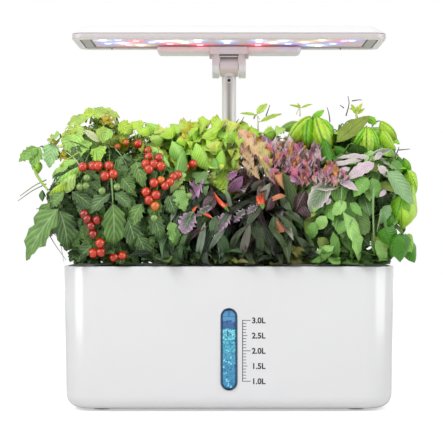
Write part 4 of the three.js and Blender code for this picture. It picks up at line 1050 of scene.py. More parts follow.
def makeLeds():
    # a fine board whose corners carry, as painted light in its emission and its base colour, the glow that each chip
    # throws on it, and domed chips
    base = lamp["boardBottom"]
    board = openBlock("ledBoard", (-lamp["boardHalf"], lamp["boardFront"], base),
                      (lamp["boardHalf"], lamp["boardRear"], lamp["boardTop"]))
    pick(board, "faces", facingDown)
    bpy.ops.mesh.subdivide(number_cuts=60)
    closeShape()
    chips = {name: [] for name in ledColors}
    places = []
    for u, v, name in ledPlaces:
        depth = lamp["boardFront"] + (v - led["topRow"]) * led["rowDepth"]
        x = fromPhoto(u, v, depth)[0]
        places.append((x, depth, np.array(ledColors[name])))
        chip = openRound("chip", "z", (x, depth, base - 0.4), led["radius"], 0.9, 12)
        pick(chip, "verts", lambda c, n: True)
        resize((led["stretch"], 1, 1), (x, depth, base))
        roundEdges(chip, rimBelow(base - 0.5), 0.5, 2)
        closeShape()
        chips[name].append(chip)
    count = len(board.data.vertices)
    spread = np.empty(count * 3)
    board.data.vertices.foreach_get("co", spread)
    spread = spread.reshape(-1, 3) / mm
    glow = np.zeros((count, 4))
    glow[:, 3] = 1
    tone = np.tile(led["boardTone"], (count, 1))
    for x, depth, color in places:
        aside, along = spread[:, 0] - x, spread[:, 1] - depth
        halo = np.exp(-(aside / led["haloX"]) ** 2 - (along / led["haloY"]) ** 2)[:, None]
        core = np.exp(-(aside / led["coreX"]) ** 2 - (along / led["coreY"]) ** 2)[:, None]
        # each halo also tints the board's base colour towards its chip: painted light
        tone[:, :3] += (color - tone[:, :3]) * halo
        glow[:, :3] += halo * color ** 2.2 * 0.55 + core * (0.2 + 0.5 * color)
    glow[:, :3] = np.clip(glow[:, :3] + np.array(led["boardGlow"]), 0, 1.4)
    tree, shader = newMaterial("ledBoardGlow", (0.84, 0.70, 0.74), 0.5)
    for name, values, socket in (("glow", glow, "Emission Color"), ("tone", tone, "Base Color")):
        layer = board.data.color_attributes.new(name, "FLOAT_COLOR", "POINT")
        layer.data.foreach_set("color", values.ravel())
        tree.links.new(paintOf(tree, name), shader.inputs[socket])
    shader.inputs["Emission Strength"].default_value = 0.9
    dress(board, "lamp", "ledBoardGlow", ("led_board",), 30)
    for name, color in ledColors.items():
        finish = "led" + name.capitalize()
        tree, shader = newMaterial(finish, color, 0.3)
        shader.inputs["Emission Color"].default_value = (*(0.45 + 0.55 * c for c in color), 1)
        shader.inputs["Emission Strength"].default_value = 1.5
        dress(joined("chips" + name.capitalize(), chips[name]), "lamp", finish, (), 30)


makePost()
makeClamp()
makeHingeHead()
makeBracket()
makeBezel()
makeCover()
makeHousing()
makeLeds()
print("post, hinge and lamp built")

# the foliage
# each leaf form: rows along and columns across a half, where it is widest, the power of its outline, its bend in
# radians, fold, dome, ruffle, waves, teeth, how much lighter its ruffled crests and darker its troughs are painted
# (painted highlight and shade), and the depth of its furrows, which are also painted darker
formParts = ("rows", "columns", "peak", "round", "bend", "fold", "dome", "ruffle", "waves", "teeth", "crestLightAndShade",
             "furrow")
leafForms = {
    "tomato": (11, 2, 0.38, 0.85, 0.8, 0.16, 0.08, 0.07, 2.2, 0.18, 0.3, 0),
    "basil": (9, 3, 0.45, 0.62, 1.15, -0.05, 0.55, 0.02, 2.5, 0.0, 0, 0),
    "mint": (10, 2, 0.42, 0.78, 0.65, 0.14, 0.12, 0.03, 3.0, 0.09, 0, 0),
    "pepper": (8, 2, 0.42, 0.95, 0.8, 0.2, 0.05, 0.02, 1.5, 0.0, 0, 0),
    "lettuce": (13, 4, 0.72, 0.5, 0.55, 0.12, 0.1, 0.22, 4.5, 0.12, 0.4, 0),
    "frill": (14, 4, 0.75, 0.45, 0.5, 0.1, 0.0, 0.42, 6.5, 0.2, 0.75, 0),
    "fringe": (13, 3, 0.5, 0.6, 0.5, 0.1, 0.1, 0.2, 5.0, 0.13, 0.4, 0),
    "dome": (18, 7, 0.5, 0.36, 2.1, -0.1, 0.7, 0.02, 2.5, 0.0, 0, 0.05),
    "petal": (5, 1, 0.5, 0.9, 0.4, 0.1, 0.0, 0.0, 1.0, 0.0, 0, 0),
}
leafThickness = 0.010  # a share of the leaf's length
chance = np.random.default_rng(11)


def leafOutline(form, along):
    power = math.log(0.5) / math.log(form["peak"])
    width = np.sin(math.pi * np.clip(along, 0.0, 1.0) ** power) ** form["round"]
    return np.maximum(width, 0.035)


def leafShape(kind, seed):
    # one leaf of unit length and width: its points, quads, places on the leaf and which points are on the edge
    form = dict(zip(formParts, leafForms[kind]))
    random = np.random.default_rng(seed)
    rows, columns = form["rows"], form["columns"]
    along = np.linspace(0, 1, rows + 1)
    across = np.linspace(-1, 1, 2 * columns + 1)
    bend = form["bend"] * random.uniform(0.6, 1.3)
    angle = -bend * (along - 0.35) - 0.1
    step = 1 / rows
    midY = np.concatenate([[0], np.cumsum(np.cos((angle[1:] + angle[:-1]) / 2) * step)])
    midZ = np.concatenate([[0], np.cumsum(np.sin((angle[1:] + angle[:-1]) / 2) * step)])
    width = leafOutline(form, along) / 2
    notch = np.where(np.arange(rows + 1) % 2 == 1, 1 - form["teeth"], 1 + form["teeth"] * 0.4)
    notch = 1 + (notch - 1) * random.uniform(0.4, 1.5, rows + 1)
    notch[0] = notch[-1] = 1
    fullTurn = 6.28
    phase = random.uniform(0, fullTurn, 2)
    points = np.zeros((rows + 1, 2 * columns + 1, 3))
    places = np.zeros((rows + 1, 2 * columns + 1, 2))
    shadesAndTones = np.ones((rows + 1, 2 * columns + 1))
    for j, side in enumerate(across):
        spread = abs(side)
        wide = width * (1 + (notch - 1) * spread ** 2)
        wave = np.sin(along * form["waves"] * fullTurn + phase[0 if side < 0 else 1]) * spread ** 2
        lift = form["fold"] * spread * width - form["dome"] * spread ** 2 * width
        lift = lift + form["ruffle"] * wave * width * 1.6
        furrow = np.abs(np.sin(side * 2.5 * math.pi)) * np.sin(math.pi * along) ** 0.5
        lift = lift + form["furrow"] * furrow
        sideways = side * wide * (1 - 0.12 * form["ruffle"] * np.abs(wave))
        points[:, j, 0] = sideways
        points[:, j, 1] = midY - np.sin(angle) * lift + form["teeth"] * 0.03 * spread * (notch > 1)
        points[:, j, 2] = midZ + np.cos(angle) * lift
        places[:, j, 0] = side * 0.5 + 0.5
        places[:, j, 1] = along
        # ruffle crests are painted lighter and troughs darker: painted highlight and shade
        shadesAndTones[:, j] = 1 + form["crestLightAndShade"] * wave
        # a domed leaf is painted lighter on its ridges, darker in its furrows and darker towards its tip: painted
        # shade
        if form["furrow"]:
            shadesAndTones[:, j] = (0.68 + 0.5 * furrow) * (1.15 - 0.7 * along ** 2)
    back = points.copy()
    inner = np.zeros(points.shape[:2], bool)
    inner[1:-1, 1:-1] = True
    back[:, :, 1] += np.sin(angle)[:, None] * leafThickness
    back[:, :, 2] -= np.cos(angle)[:, None] * leafThickness
    index = np.arange(points.shape[0] * points.shape[1]).reshape(points.shape[:2])
    backIndex = index.copy()
    backIndex[inner] = index.size + np.arange(inner.sum())
    quads = np.stack([index[:-1, :-1], index[:-1, 1:], index[1:, 1:], index[1:, :-1]], -1).reshape(-1, 4)
    under = np.stack([backIndex[:-1, :-1], backIndex[1:, :-1], backIndex[1:, 1:], backIndex[:-1, 1:]], -1)
    verts = np.concatenate([points.reshape(-1, 3), back[inner]])
    uv = np.concatenate([places.reshape(-1, 2), places[inner]])
    edge = np.concatenate([~inner.reshape(-1), np.zeros(inner.sum(), bool)])
    shadeAndTone = np.concatenate([shadesAndTones.reshape(-1), shadesAndTones[inner]])
    return {"verts": verts, "quads": np.concatenate([quads, under.reshape(-1, 4)]), "uv": uv, "edge": edge,
            "shadeAndTone": shadeAndTone}


def compoundShape(seed):
    # a tomato leaf: a curved midrib with pairs of toothed leaflets and one at the tip
    random = np.random.default_rng(seed)
    bend = random.uniform(0.5, 1.1)
    parts = []

    def midrib(share):
        angle = -bend * share * 0.8
        return np.array([0, math.sin(bend * share) / bend * 0.72, -(1 - math.cos(bend * share)) / bend * 0.72]), angle

    layout = [(1.0, 0, 0.44, 0.40)]
    for share, length in ((0.80, 0.34), (0.50, 0.36), (0.24, 0.24)):
        for side in (-1, 1):
            layout.append((share + random.uniform(-0.03, 0.03), side, length * random.uniform(0.85, 1.1), 0.62))
    for k, (share, side, length, aspect) in enumerate(layout):
        base = leafShape("tomato", seed * 31 + k)
        start, angle = midrib(share)
        turn = -side * random.uniform(0.75, 1.05)
        wide = length * (aspect if side else 0.72)
        local = base["verts"] * np.array([wide, length, length])
        roll = side * random.uniform(-0.25, 0.35)
        spun = local.copy()
        spun[:, 0] = local[:, 0] * math.cos(turn) - local[:, 1] * math.sin(turn)
        spun[:, 1] = local[:, 0] * math.sin(turn) + local[:, 1] * math.cos(turn)
        spun[:, 2] += -abs(side) * 0.25 * np.abs(spun[:, 0]) + roll * 0.3 * spun[:, 0]
        tilted = spun.copy()
        tilted[:, 1] = spun[:, 1] * math.cos(angle) - spun[:, 2] * math.sin(angle)
        tilted[:, 2] = spun[:, 1] * math.sin(angle) + spun[:, 2] * math.cos(angle)
        tilted += start + np.array([side * 0.02, 0, 0])
        parts.append({**base, "verts": tilted, "shadeAndTone": base["shadeAndTone"] * random.uniform(0.6, 1.4)})
    line = [midrib(t)[0] for t in np.linspace(0, 1.02, 6)]
    rib = stemShape(line, [0.012] * 5 + [0.006], 4)
    rib["uv"][:] = (0.5, 0.3)
    parts.append(rib)
    return mergedShapes(parts)


def plainShape(verts, quads):
    return {"verts": verts, "quads": quads, "uv": np.full((len(verts), 2), 0.5), "edge": np.zeros(len(verts), bool)}


def painted(shape, color):
    return np.tile(np.array(color), (len(shape["verts"]), 1))


def stemShape(line, radii, sides=5):
    # a closed tube along a line of points
    line = np.array(line, float)
    way = np.gradient(line, axis=0)
    way /= np.linalg.norm(way, axis=1)[:, None] + 1e-9
    aside = np.cross(way, np.array([0.31, 0.17, 0.94]))
    aside /= np.linalg.norm(aside, axis=1)[:, None] + 1e-9
    above = np.cross(way, aside)
    turn = np.arange(sides) / sides * 2 * math.pi
    ring = (aside[:, None, :] * np.cos(turn)[None, :, None] + above[:, None, :] * np.sin(turn)[None, :, None])
    verts = (line[:, None, :] + ring * np.array(radii)[:, None, None]).reshape(-1, 3)
    count = len(line)
    index = np.arange(count * sides).reshape(count, sides)
    after = np.roll(index, -1, axis=1)
    quads = np.stack([index[:-1], index[1:], after[1:], after[:-1]], -1).reshape(-1, 4)
    if sides == 4:
        quads = np.concatenate([quads, np.array([index[0], index[-1][::-1]])])
    else:
        first, last = count * sides, count * sides + 1
        verts = np.concatenate([verts, np.array([line[0], line[-1]])])
        pairs = [(first, index[0][i], index[0][(i + 1) % sides], index[0][(i + 2) % sides]) for i in (0, 2)]
        ends = [(last, index[-1][(i + 2) % sides], index[-1][(i + 1) % sides], index[-1][i]) for i in (0, 2)]
        if sides == 6:
            pairs.append((first, index[0][4], index[0][5], index[0][0]))
            ends.append((last, index[-1][0], index[-1][5], index[-1][4]))
        quads = np.concatenate([quads, np.array(pairs + ends)])
    return plainShape(verts, quads)


def mergedShapes(parts):
    offset, quads = 0, []
    for part in parts:
        quads.append(part["quads"] + offset)
        offset += len(part["verts"])
    return {"verts": np.concatenate([p["verts"] for p in parts]), "quads": np.concatenate(quads),
            "uv": np.concatenate([p["uv"] for p in parts]), "edge": np.concatenate([p["edge"] for p in parts]),
            "shadeAndTone": np.concatenate([p.get("shadeAndTone", np.ones(len(p["verts"]))) for p in parts])}


shapeBank = {"compound": [compoundShape(seed) for seed in range(5)]}
for kind in leafForms:
    shapeBank[kind] = [leafShape(kind, seed) for seed in range(6)]


def unit(vector):
    vector = np.array(vector, float)
    return vector / (np.linalg.norm(vector) + 1e-9)


# room that leaves stay out of, in mm: the post, the lowered hinge, the console and the opening lid
clearRoom = [((-15, 36, 100), (15, 90, 300)), ((-32, 26, 262), (32, 90, 320)), ((-69, 32, 120), (69, 90, 150)),
             ((82, 32, 120), (128, 90, 172))]

# how far filler leaves reach in the photograph, in pixels: (v, leftmost u, rightmost u), and (u, topmost v)
reachAcross = [(100, 88, 372), (112, 70, 376), (126, 62, 398), (138, 50, 400), (150, 44, 402), (160, 54, 406),
               (176, 50, 414), (190, 42, 420), (204, 45, 412), (220, 40, 408), (232, 48, 406), (242, 58, 400),
               (254, 66, 394), (266, 68, 392)]
reachUp = [(40, 142), (56, 134), (70, 122), (88, 110), (104, 108), (118, 118), (140, 122), (200, 121), (222, 122),
           (240, 128), (262, 131), (280, 127), (292, 120), (312, 114), (330, 117), (350, 114), (380, 116), (400, 132)]


def pastOutline(verts):
    # whether any of these points, in mm, lies past the foliage's outline in the photograph
    away = 1000 * view["distance"] + verts[:, 1]
    u = view["centreU"] + view["focal"] * verts[:, 0] / away
    v = view["centreV"] - view["focal"] * (verts[:, 2] - view["height"] * 1000) / away
    levels, lefts, rights = np.array(reachAcross).T
    places, tops = np.array(reachUp).T
    return bool(((u < np.interp(v, levels, lefts)) | (u > np.interp(v, levels, rights))
                 | (v < np.interp(u, places, tops))).any())


def brightened(color, gains):
    # the colour times its plant's gains, held under 0.9 with its hue kept
    lit = np.array(color) * gains
    return lit * min(1.0, 0.9 / lit.max())


def keptClear(verts):
    return any(((verts > low) & (verts < high)).all(axis=1).any() for low, high in clearRoom)


def frontDepth(x, z):
    # where the front of all the foliage lies at x, z, in mm
    best = 10.0
    for ovals in canopies.values():
        for (cx, cy, cz), (rx, ry, rz) in ovals:
            rest = 1 - ((x - cx) / rx) ** 2 - ((z - cz) / rz) ** 2
            if rest > 0:
                best = min(best, cy - ry * math.sqrt(rest))
    return best


def leafDepth(u, v):
    x, y, z = fromPhoto(u, v, -50)
    return frontDepth(x, z)


class Plant:
    # gathers the leaves, stems and fruit of one pod before they become a mesh
    def __init__(self, number):
        self.number = number
        self.parts, self.colors, self.kinds = [], [], []

    def addShape(self, shape, color, kind):
        self.parts.append(shape)
        self.colors.append(color)
        self.kinds.append(np.full(len(shape["quads"]), kind))

    def addLeaf(self, kind, base, axis, normal, length, width, colors, variant=None, gains=None, bounded=False):
        bank = shapeBank[kind]
        shape = bank[chance.integers(len(bank)) if variant is None else variant % len(bank)]
        along = unit(axis)
        out = unit(np.array(normal) - along * np.dot(normal, along))
        side = np.cross(along, out)
        local = shape["verts"] * np.array([width, length, length])
        verts = local[:, :1] * side + local[:, 1:2] * along + local[:, 2:] * out + np.array(base)
        above = verts[:, 2] - leafFloor
        verts[:, 2] = leafFloor + np.where(above < 0, above * 0.05, above)
        if keptClear(verts) or (bounded and pastOutline(verts)):
            return
        gains = plantPlans[self.number]["bright"] if gains is None else gains
        heart, rim, tip = (brightened(c, gains) for c in colors)
        spread = np.abs(shape["uv"][:, :1] - 0.5) * 2
        height = shape["uv"][:, 1:]
        mixed = heart + (rim - heart) * np.clip(spread * 1.25 - 0.25, 0, 1) ** 1.5
        mixed = mixed + (tip - mixed) * np.clip(height - 0.45, 0, 1) * 0.9
        mixed = np.clip(mixed * shape["shadeAndTone"][:, None], 0.0, 0.92)
        self.addShape({**shape, "verts": verts}, mixed, 0)

    def addStem(self, line, radii, color, sides=5):
        shape = stemShape(line, radii, sides)
        self.addShape(shape, painted(shape, color), 1)

    def stalk(self, start, end, radius, color, lift=8.0):
        start, end = np.array(start, float), np.array(end, float)
        middle = (start + end) / 2 + np.array([0, 0, lift])
        t = np.linspace(0, 1, 5)[:, None]
        line = (1 - t) ** 2 * start + 2 * t * (1 - t) * middle + t ** 2 * end
        self.addStem(line, np.linspace(radius * 1.2, radius * 0.6, 5), color, 4)

    def build(self, name, finishes):
        whole = mergedShapes(self.parts)
        mesh = bpy.data.meshes.new(name)
        mesh.from_pydata((whole["verts"] * mm).tolist(), [], whole["quads"].tolist())
        loops = np.empty(len(mesh.loops), int)
        mesh.loops.foreach_get("vertex_index", loops)
        layer = mesh.uv_layers.new(name="leafMap")
        layer.data.foreach_set("uv", whole["uv"][loops].ravel())
        paint = mesh.color_attributes.new("leafColor", "FLOAT_COLOR", "POINT")
        colors = np.concatenate(self.colors)
        paint.data.foreach_set("color", np.concatenate([colors, np.ones((len(colors), 1))], 1).ravel())
        for finish in finishes:
            mesh.materials.append(bpy.data.materials[finish])
        mesh.polygons.foreach_set("material_index", np.concatenate(self.kinds))
        mesh.polygons.foreach_set("use_smooth", np.ones(len(mesh.polygons), bool))
        ends = np.empty(len(mesh.edges) * 2, int)
        mesh.edges.foreach_get("vertices", ends)
        onEdge = whole["edge"][ends.reshape(-1, 2)].all(axis=1)
        sharp = mesh.attributes.new("sharp_edge", "BOOLEAN", "EDGE")
        sharp.data.foreach_set("value", onEdge)
        mesh.update()
        return placed(name, mesh)


def leafMaterial(name, veins, veinTint, gloss, crinkle, shadow):
    # a leaf: its own colours, a pale midrib and side veins drawn on its map, painted shade between the veins, and a
    # crinkled skin
    tree, shader = newMaterial(name, (0.1, 0.3, 0.05), gloss)
    paint = paintOf(tree)
    place = objectPlace(tree)
    patches = noise(tree, place, 95, 4)
    leafMap = addNode(tree, "ShaderNodeUVMap", uv_map="leafMap")
    axes = addNode(tree, "ShaderNodeSeparateXYZ")
    tree.links.new(leafMap.outputs[0], axes.inputs[0])
    across = mathNode(tree, "ABSOLUTE", mathNode(tree, "SUBTRACT", axes.outputs["X"], 0.5))
    midrib = mathNode(tree, "LESS_THAN", across, 0.028)
    swept = mathNode(tree, "MULTIPLY_ADD", across, -0.75, axes.outputs["Y"])
    wave = mathNode(tree, "FRACT", times(tree, swept, float(veins)))
    ridge = mathNode(tree, "PINGPONG", wave, 0.5)
    line = mathNode(tree, "LESS_THAN", ridge, 0.06)
    lines = mathNode(tree, "MAXIMUM", midrib, times(tree, line, 0.55))
    dark = mixColors(tree, 1.0, paint, (shadow, shadow * 1.06, shadow), "MULTIPLY")
    pale = mixColors(tree, 1.0, paint, (1.65, 1.6, 1.5), "MULTIPLY")
    skin = mixColors(tree, patches, dark, pale)
    # between the side veins the skin is painted darker: painted shade in the puckers
    skin = mixColors(tree, times(tree, ridge, 1.1), skin, dark)
    tree.links.new(mixColors(tree, times(tree, lines, veinTint[1]), skin, veinTint[0]),
                   shader.inputs["Base Color"])
    puff = mathNode(tree, "MULTIPLY_ADD", noise(tree, place, 260, 2), crinkle, ridge)
    height = mathNode(tree, "SUBTRACT", puff, times(tree, midrib, 0.4))
    bump(tree, shader, height, 0.6, 0.0009)
    shader.inputs["Specular IOR Level"].default_value = 0.32


def stemMaterial():
    tree, shader = newMaterial("stemGreen", (0.2, 0.35, 0.08), 0.5)
    paint = paintOf(tree)
    streaks = noise(tree, objectPlace(tree), 140, 3)
    dark = mixColors(tree, 1.0, paint, (0.65, 0.65, 0.6), "MULTIPLY")
    tree.links.new(mixColors(tree, streaks, dark, paint), shader.inputs["Base Color"])
    bump(tree, shader, streaks, 0.3, 0.0005)


def fruitMaterial():
    tree, shader = newMaterial("fruitSkin", (0.8, 0.05, 0.01), 0.18)
    paint = paintOf(tree)
    blush = noise(tree, objectPlace(tree), 90, 2)
    ripe = mixColors(tree, 1.0, paint, (0.8, 0.7, 0.6), "MULTIPLY")
    tree.links.new(mixColors(tree, blush, ripe, paint), shader.inputs["Base Color"])
    shader.inputs["Coat Weight"].default_value = 0.5
    shader.inputs["Coat Roughness"].default_value = 0.08


leafLooks = {
    "tomato_leaf": ("tomatoLeaf", 6, ((0.42, 0.58, 0.28), 0.6), 0.5, 0.9, 0.34),
    "pepper_leaf": ("pepperLeaf", 8, ((0.30, 0.36, 0.28), 0.5), 0.28, 0.2, 0.3),
    "purple_leaf": ("purpleLeaf", 8, ((0.34, 0.36, 0.28), 0.45), 0.28, 0.3, 0.35),
    "variegated_leaf": ("variegatedLeaf", 8, ((0.42, 0.52, 0.30), 0.45), 0.45, 0.5, 0.4),
    "pale_lettuce": ("paleLettuce", 9, ((0.72, 0.84, 0.40), 0.5), 0.5, 0.6, 0.55),
    "red_lettuce": ("redLettuce", 9, ((0.66, 0.56, 0.34), 0.45), 0.45, 0.6, 0.55),
    "basil_leaf": ("basilLeaf", 8, ((0.04, 0.20, 0.01), 0.6), 0.36, 0.6, 0.5),
}
for look in leafLooks.values():
    leafMaterial(*look)
stemMaterial()
fruitMaterial()


def shade(color, amount):
    return tuple(min(c * amount, 1.0) for c in color)


freshGreen = (0.15, 0.36, 0.05)
layers = [1.0, 0.84, 0.64]  # the outer and the two inner layers of a canopy, as shares of its radii
goldenTurn = 0.61803
leafFloor = 134.2  # leaves stay above this height, just over the deck


def growCanopy(plant, canopy, settings, stalkColor):
    # leaves laid like shingles over an oval canopy, tips out and down, in layers painted darker inwards as shade
    (cx, cy, cz), (rx, ry, rz) = canopy
    stemX, stemY = podPlaces[plant.number]
    count = settings["count"]
    depths = dict(zip(layers, settings.get("depths", (1.0, 0.4, 0.15))))
    offset = chance.uniform(0, 1)
    for i in range(count):
        share = (i + 0.5) / count
        rise = float(np.clip(0.97 - share * 1.75 + chance.uniform(-0.05, 0.05), -0.95, 0.99))
        azimuth = (offset + i * goldenTurn) * 2 * math.pi + chance.uniform(-0.3, 0.3)
        flat = math.sqrt(1 - rise * rise)
        way = np.array([flat * math.cos(azimuth), flat * math.sin(azimuth), rise])
        layer = chance.choice(layers, p=[0.6, 0.27, 0.13])
        spot = np.array([cx, cy, cz]) + way * np.array([rx, ry, rz]) * layer * chance.uniform(0.92, 1.04)
        outward = unit([way[0] / rx, way[1] / ry, way[2] / rz])
        level = unit([outward[0], outward[1], 0.001])
        droop = settings["droop"] * (1 - 0.75 * max(rise, 0))
        axis = unit(level * (0.45 + 0.5 * max(rise, 0)) + np.array([0, 0, -droop + 0.25 * max(rise, 0)])
                    + chance.normal(0, 0.3, 3))
        face = unit(outward * 0.8 + np.array([0, -0.1, 0.75]) + chance.normal(0, 0.25, 3))
        length = settings["length"] * chance.uniform(0.7, 1.2)
        width = length * settings["aspect"] * chance.uniform(0.85, 1.15)
        base = spot - axis * length * 0.55
        tone = chance.uniform(0.55, 1.55) * depths[layer]
        # near the top of the outer layer, leaves blend towards a lighter tone: painted light from above
        lighter = np.clip((rise + 0.2) * settings.get("topLight", 0.0), 0, 1) * (layer == 1.0)
        blend = [np.array(shade(c, tone)) * (1 - lighter) + np.array(top) * lighter * chance.uniform(0.75, 1.1)
                 for c, top in zip(leafTones[settings["tones"][chance.integers(len(settings["tones"]))]],
                                   leafTones[settings.get("topTone", "light")])]
        plant.addLeaf(settings["kind"], base, axis, face, length, width, blend, bounded=True)
        if pastOutline(np.array([base])):
            continue
        away = math.hypot(base[0] - stemX, base[1] - stemY)
        root = (stemX + (base[0] - stemX) * 0.12, stemY + (base[1] - stemY) * 0.12,
                float(np.clip(base[2] - away * 0.55, 140, base[2])))
        if not keptClear(np.array([base, (base + np.array(root)) / 2])) and base[2] > 141:
            plant.stalk(root, base, 0.8, shade(stalkColor, 0.8))


def growSkirt(plant, settings):
    # small dark leaves that lie low over the deck, between the stems
    kind, count, span, reach, length, aspect, tones = settings
    for i in range(count):
        x = span[0] + (span[1] - span[0]) * (i + chance.uniform(0, 1)) / count
        y = chance.uniform(*reach)
        base = np.array([x, y, chance.uniform(133.5, 147)])
        axis = unit([chance.normal(0, 0.8), -1 if y < 0 else 0.6, chance.uniform(-0.55, 0.5)])
        face = unit(np.array([chance.normal(0, 0.3), -0.7, 0.8]))
        size = length * chance.uniform(0.7, 1.25)
        color = [shade(c, chance.uniform(0.3, 0.95)) for c in leafTones[tones[chance.integers(len(tones))]]]
        plant.addLeaf(kind, base, axis, face, size, size * aspect, color, bounded=True)


def heroLeaf(plant, kind, base, tip, width, tone, lift):
    # a leaf that the photograph shows by itself, placed by the pixels of its base and tip
    near, far = (max(leafDepth(u, v) - lift, -88.0) for u, v in (base, tip))
    start, end = fromPhoto(*base, near), fromPhoto(*tip, min(far, near + 10))
    facing = np.array([0, -0.85, 0.6]) + chance.normal(0, 0.16, 3)
    length = np.linalg.norm(end - start) * 1.08
    brightness = chance.uniform(0.9, 1.12)
    colors = [shade(c, brightness) for c in leafTones[tone]]
    plant.addLeaf(kind, start, end - start, facing, length, width * 0.95, colors,
                  gains=(1.15, 1.15, 1.15) if tone in plainTones else None)
    inward = start + np.array([chance.uniform(-4, 4), 16, chance.uniform(-6, 2)])
    plant.stalk(inward, start, min(0.9, width * 0.07), shade(colors[0], 0.9), 2.0)


def berry(radius, stretch=1.0):
    # a round fruit with a slightly sunken top
    rings, sides = 7, 10
    verts, quads = [], []
    for i in range(1, rings):
        angle = math.pi * i / rings
        for j in range(sides):
            turn = 2 * math.pi * j / sides
            r = radius * math.sin(angle)
            verts.append((r * math.cos(turn), r * math.sin(turn), radius * stretch * math.cos(angle)))
    for i in range(rings - 2):
        for j in range(sides):
            a, b = i * sides + j, i * sides + (j + 1) % sides
            quads.append((a, a + sides, b + sides, b))
    top, bottom = len(verts), len(verts) + 1
    verts += [(0, 0, radius * stretch * 0.86), (0, 0, -radius * stretch)]
    last = (rings - 2) * sides
    for j in range(0, sides, 2):
        quads.append((top, j, (j + 1) % sides, (j + 2) % sides))
        quads.append((bottom, last + (j + 2) % sides, last + (j + 1) % sides, last + j))
    return plainShape(np.array(verts), np.array(quads))


def calyx(radius):
    # five narrow sepals, folded back over the fruit's top
    parts = []
    for k in range(5):
        turn = 2 * math.pi * k / 5
        along = np.array([math.cos(turn), math.sin(turn), 0])
        aside = np.array([-math.sin(turn), math.cos(turn), 0])
        shape = leafShape("pepper", 3)
        local = shape["verts"] * np.array([radius * 0.38, radius * 0.95, radius * 0.8])
        verts = local[:, :1] * aside + local[:, 1:2] * along + local[:, 2:] * np.array((0, 0, 1))
        parts.append({**shape, "verts": verts + np.array([0, 0, radius * 0.98])})
    return mergedShapes(parts)


def addFruit(plant, spot, radius, color, tilt=(0, 0, 1), stretch=1.0):
    # the fruit, its calyx and a short pedicel, tilted together
    lean = unit(tilt)
    side = unit(np.cross(lean, (0.2, 1.0, 0.1)))
    other = np.cross(lean, side)
    turn = np.stack([side, other, lean])
    body = berry(radius, stretch)
    verts = body["verts"] @ turn + np.array(spot)
    # the fruit is painted darker towards its bottom: painted shade
    low = np.clip((body["verts"][:, 2:] / radius + 1) / 2, 0, 1)
    plant.addShape({**body, "verts": verts}, painted(body, color) * (0.8 + 0.3 * low), 2)
    sepals = calyx(radius * (1.0 if stretch == 1.0 else 0.9))
    raised = sepals["verts"] + np.array([0, 0, radius * (stretch * 0.92 - 1)])
    plant.addShape({**sepals, "verts": raised @ turn + np.array(spot)}, painted(sepals, freshGreen), 1)
    top = np.array(spot) + lean * radius * stretch
    plant.stalk(top, top + lean * radius * 1.6 + np.array([0, radius * 1.2, radius * 0.4]), radius * 0.11,
                freshGreen, 1.0)


def placeFruit(plant, u, v, radius, color, lift, stretch=1.0):
    depth = max(leafDepth(u, v) - lift, -86.0)
    lean = (chance.uniform(-0.5, 0.5), 0.15, 1.0)
    addFruit(plant, fromPhoto(u, v, depth), radius, shade(color, chance.uniform(0.85, 1.1)), lean, stretch)


def tripleOf(color, rimTone=1.0, tipTone=1.1):
    return color, shade(color, rimTone), shade(color, tipTone)


def addCurls(plant, count, across, upright, length, width, lift, tones):
    # many small curled leaf tips over the head's front, inside its slanted patch of the photograph
    for k in range(count):
        u, v = chance.uniform(*across), chance.uniform(*upright)
        tip = (u + chance.uniform(-6, 6), v - length * chance.uniform(0.7, 1.2))
        size, tone = width * chance.uniform(0.7, 1.3), tones[chance.integers(len(tones))]
        if v > 137 + max(0, u - 290) * 0.65 and u > 243 + (v - 130) * 0.3:
            heroLeaf(plant, "frill", (u, v), tip, size, tone, lift)


def growPlant(number, slot):
    # main stems, filler canopies, the leaves seen by themselves, then fruit and flowers
    plan = plantPlans[number]
    plant = Plant(number)
    x, y = podPlaces[number]
    for topX, topY, topZ in plan["stems"]["tops"]:
        bend = np.array([x + (topX - x) * 0.25, y + (topY - y) * 0.25, 130.2 + (topZ - 130.2) * 0.55])
        start, end = np.array([x, y, 130.2]), np.array([topX, topY, topZ])
        t = np.linspace(0, 1, 9)[:, None]
        line = (1 - t) ** 2 * start + 2 * t * (1 - t) * bend + t ** 2 * end
        radius = plan["stems"]["radius"]
        plant.addStem(line, np.linspace(radius, radius * 0.45, 9), plan["stems"]["color"], 6)
    for canopy, settings in zip(canopies[number], plan["fillers"]):
        growCanopy(plant, canopy, settings, plan["stems"]["color"])
    for settings in plan.get("skirts", []):
        growSkirt(plant, settings)
    for u, v, tipU, tipV, width, tone, lift, *kind in plan["leaves"]:
        heroLeaf(plant, kind[0] if kind else plan["kind"], (u, v), (tipU, tipV), width, tone, lift)
    if "curls" in plan:
        addCurls(plant, *plan["curls"])
    for tone, radius, lift, path in plan.get("shoots", []):
        line = [fromPhoto(u, v, leafDepth(u, v) - lift) for u, v in path]
        plant.addStem(smoothed(line), np.linspace(radius, radius * 0.5, 4 * len(path) - 3), leafTones[tone][0], 5)
    for tone, radius, stretch, lift, places in plan.get("fruit", []):
        for u, v in places:
            placeFruit(plant, u, v, radius, leafTones[tone][0], lift, stretch)
    for u, v in plan.get("flowers", []):
        addFlower(plant, u, v)
    for tip, foot, radius, tone, lift in plan.get("chilies", []):
        addChili(plant, tip, foot, radius, leafTones[tone][0], lift)
    piece = plant.build("plantLeaves_" + number, [leafLooks[slot][0], "stemGreen", "fruitSkin"])
    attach(piece, "pod_" + number)
    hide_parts("plant_" + number)


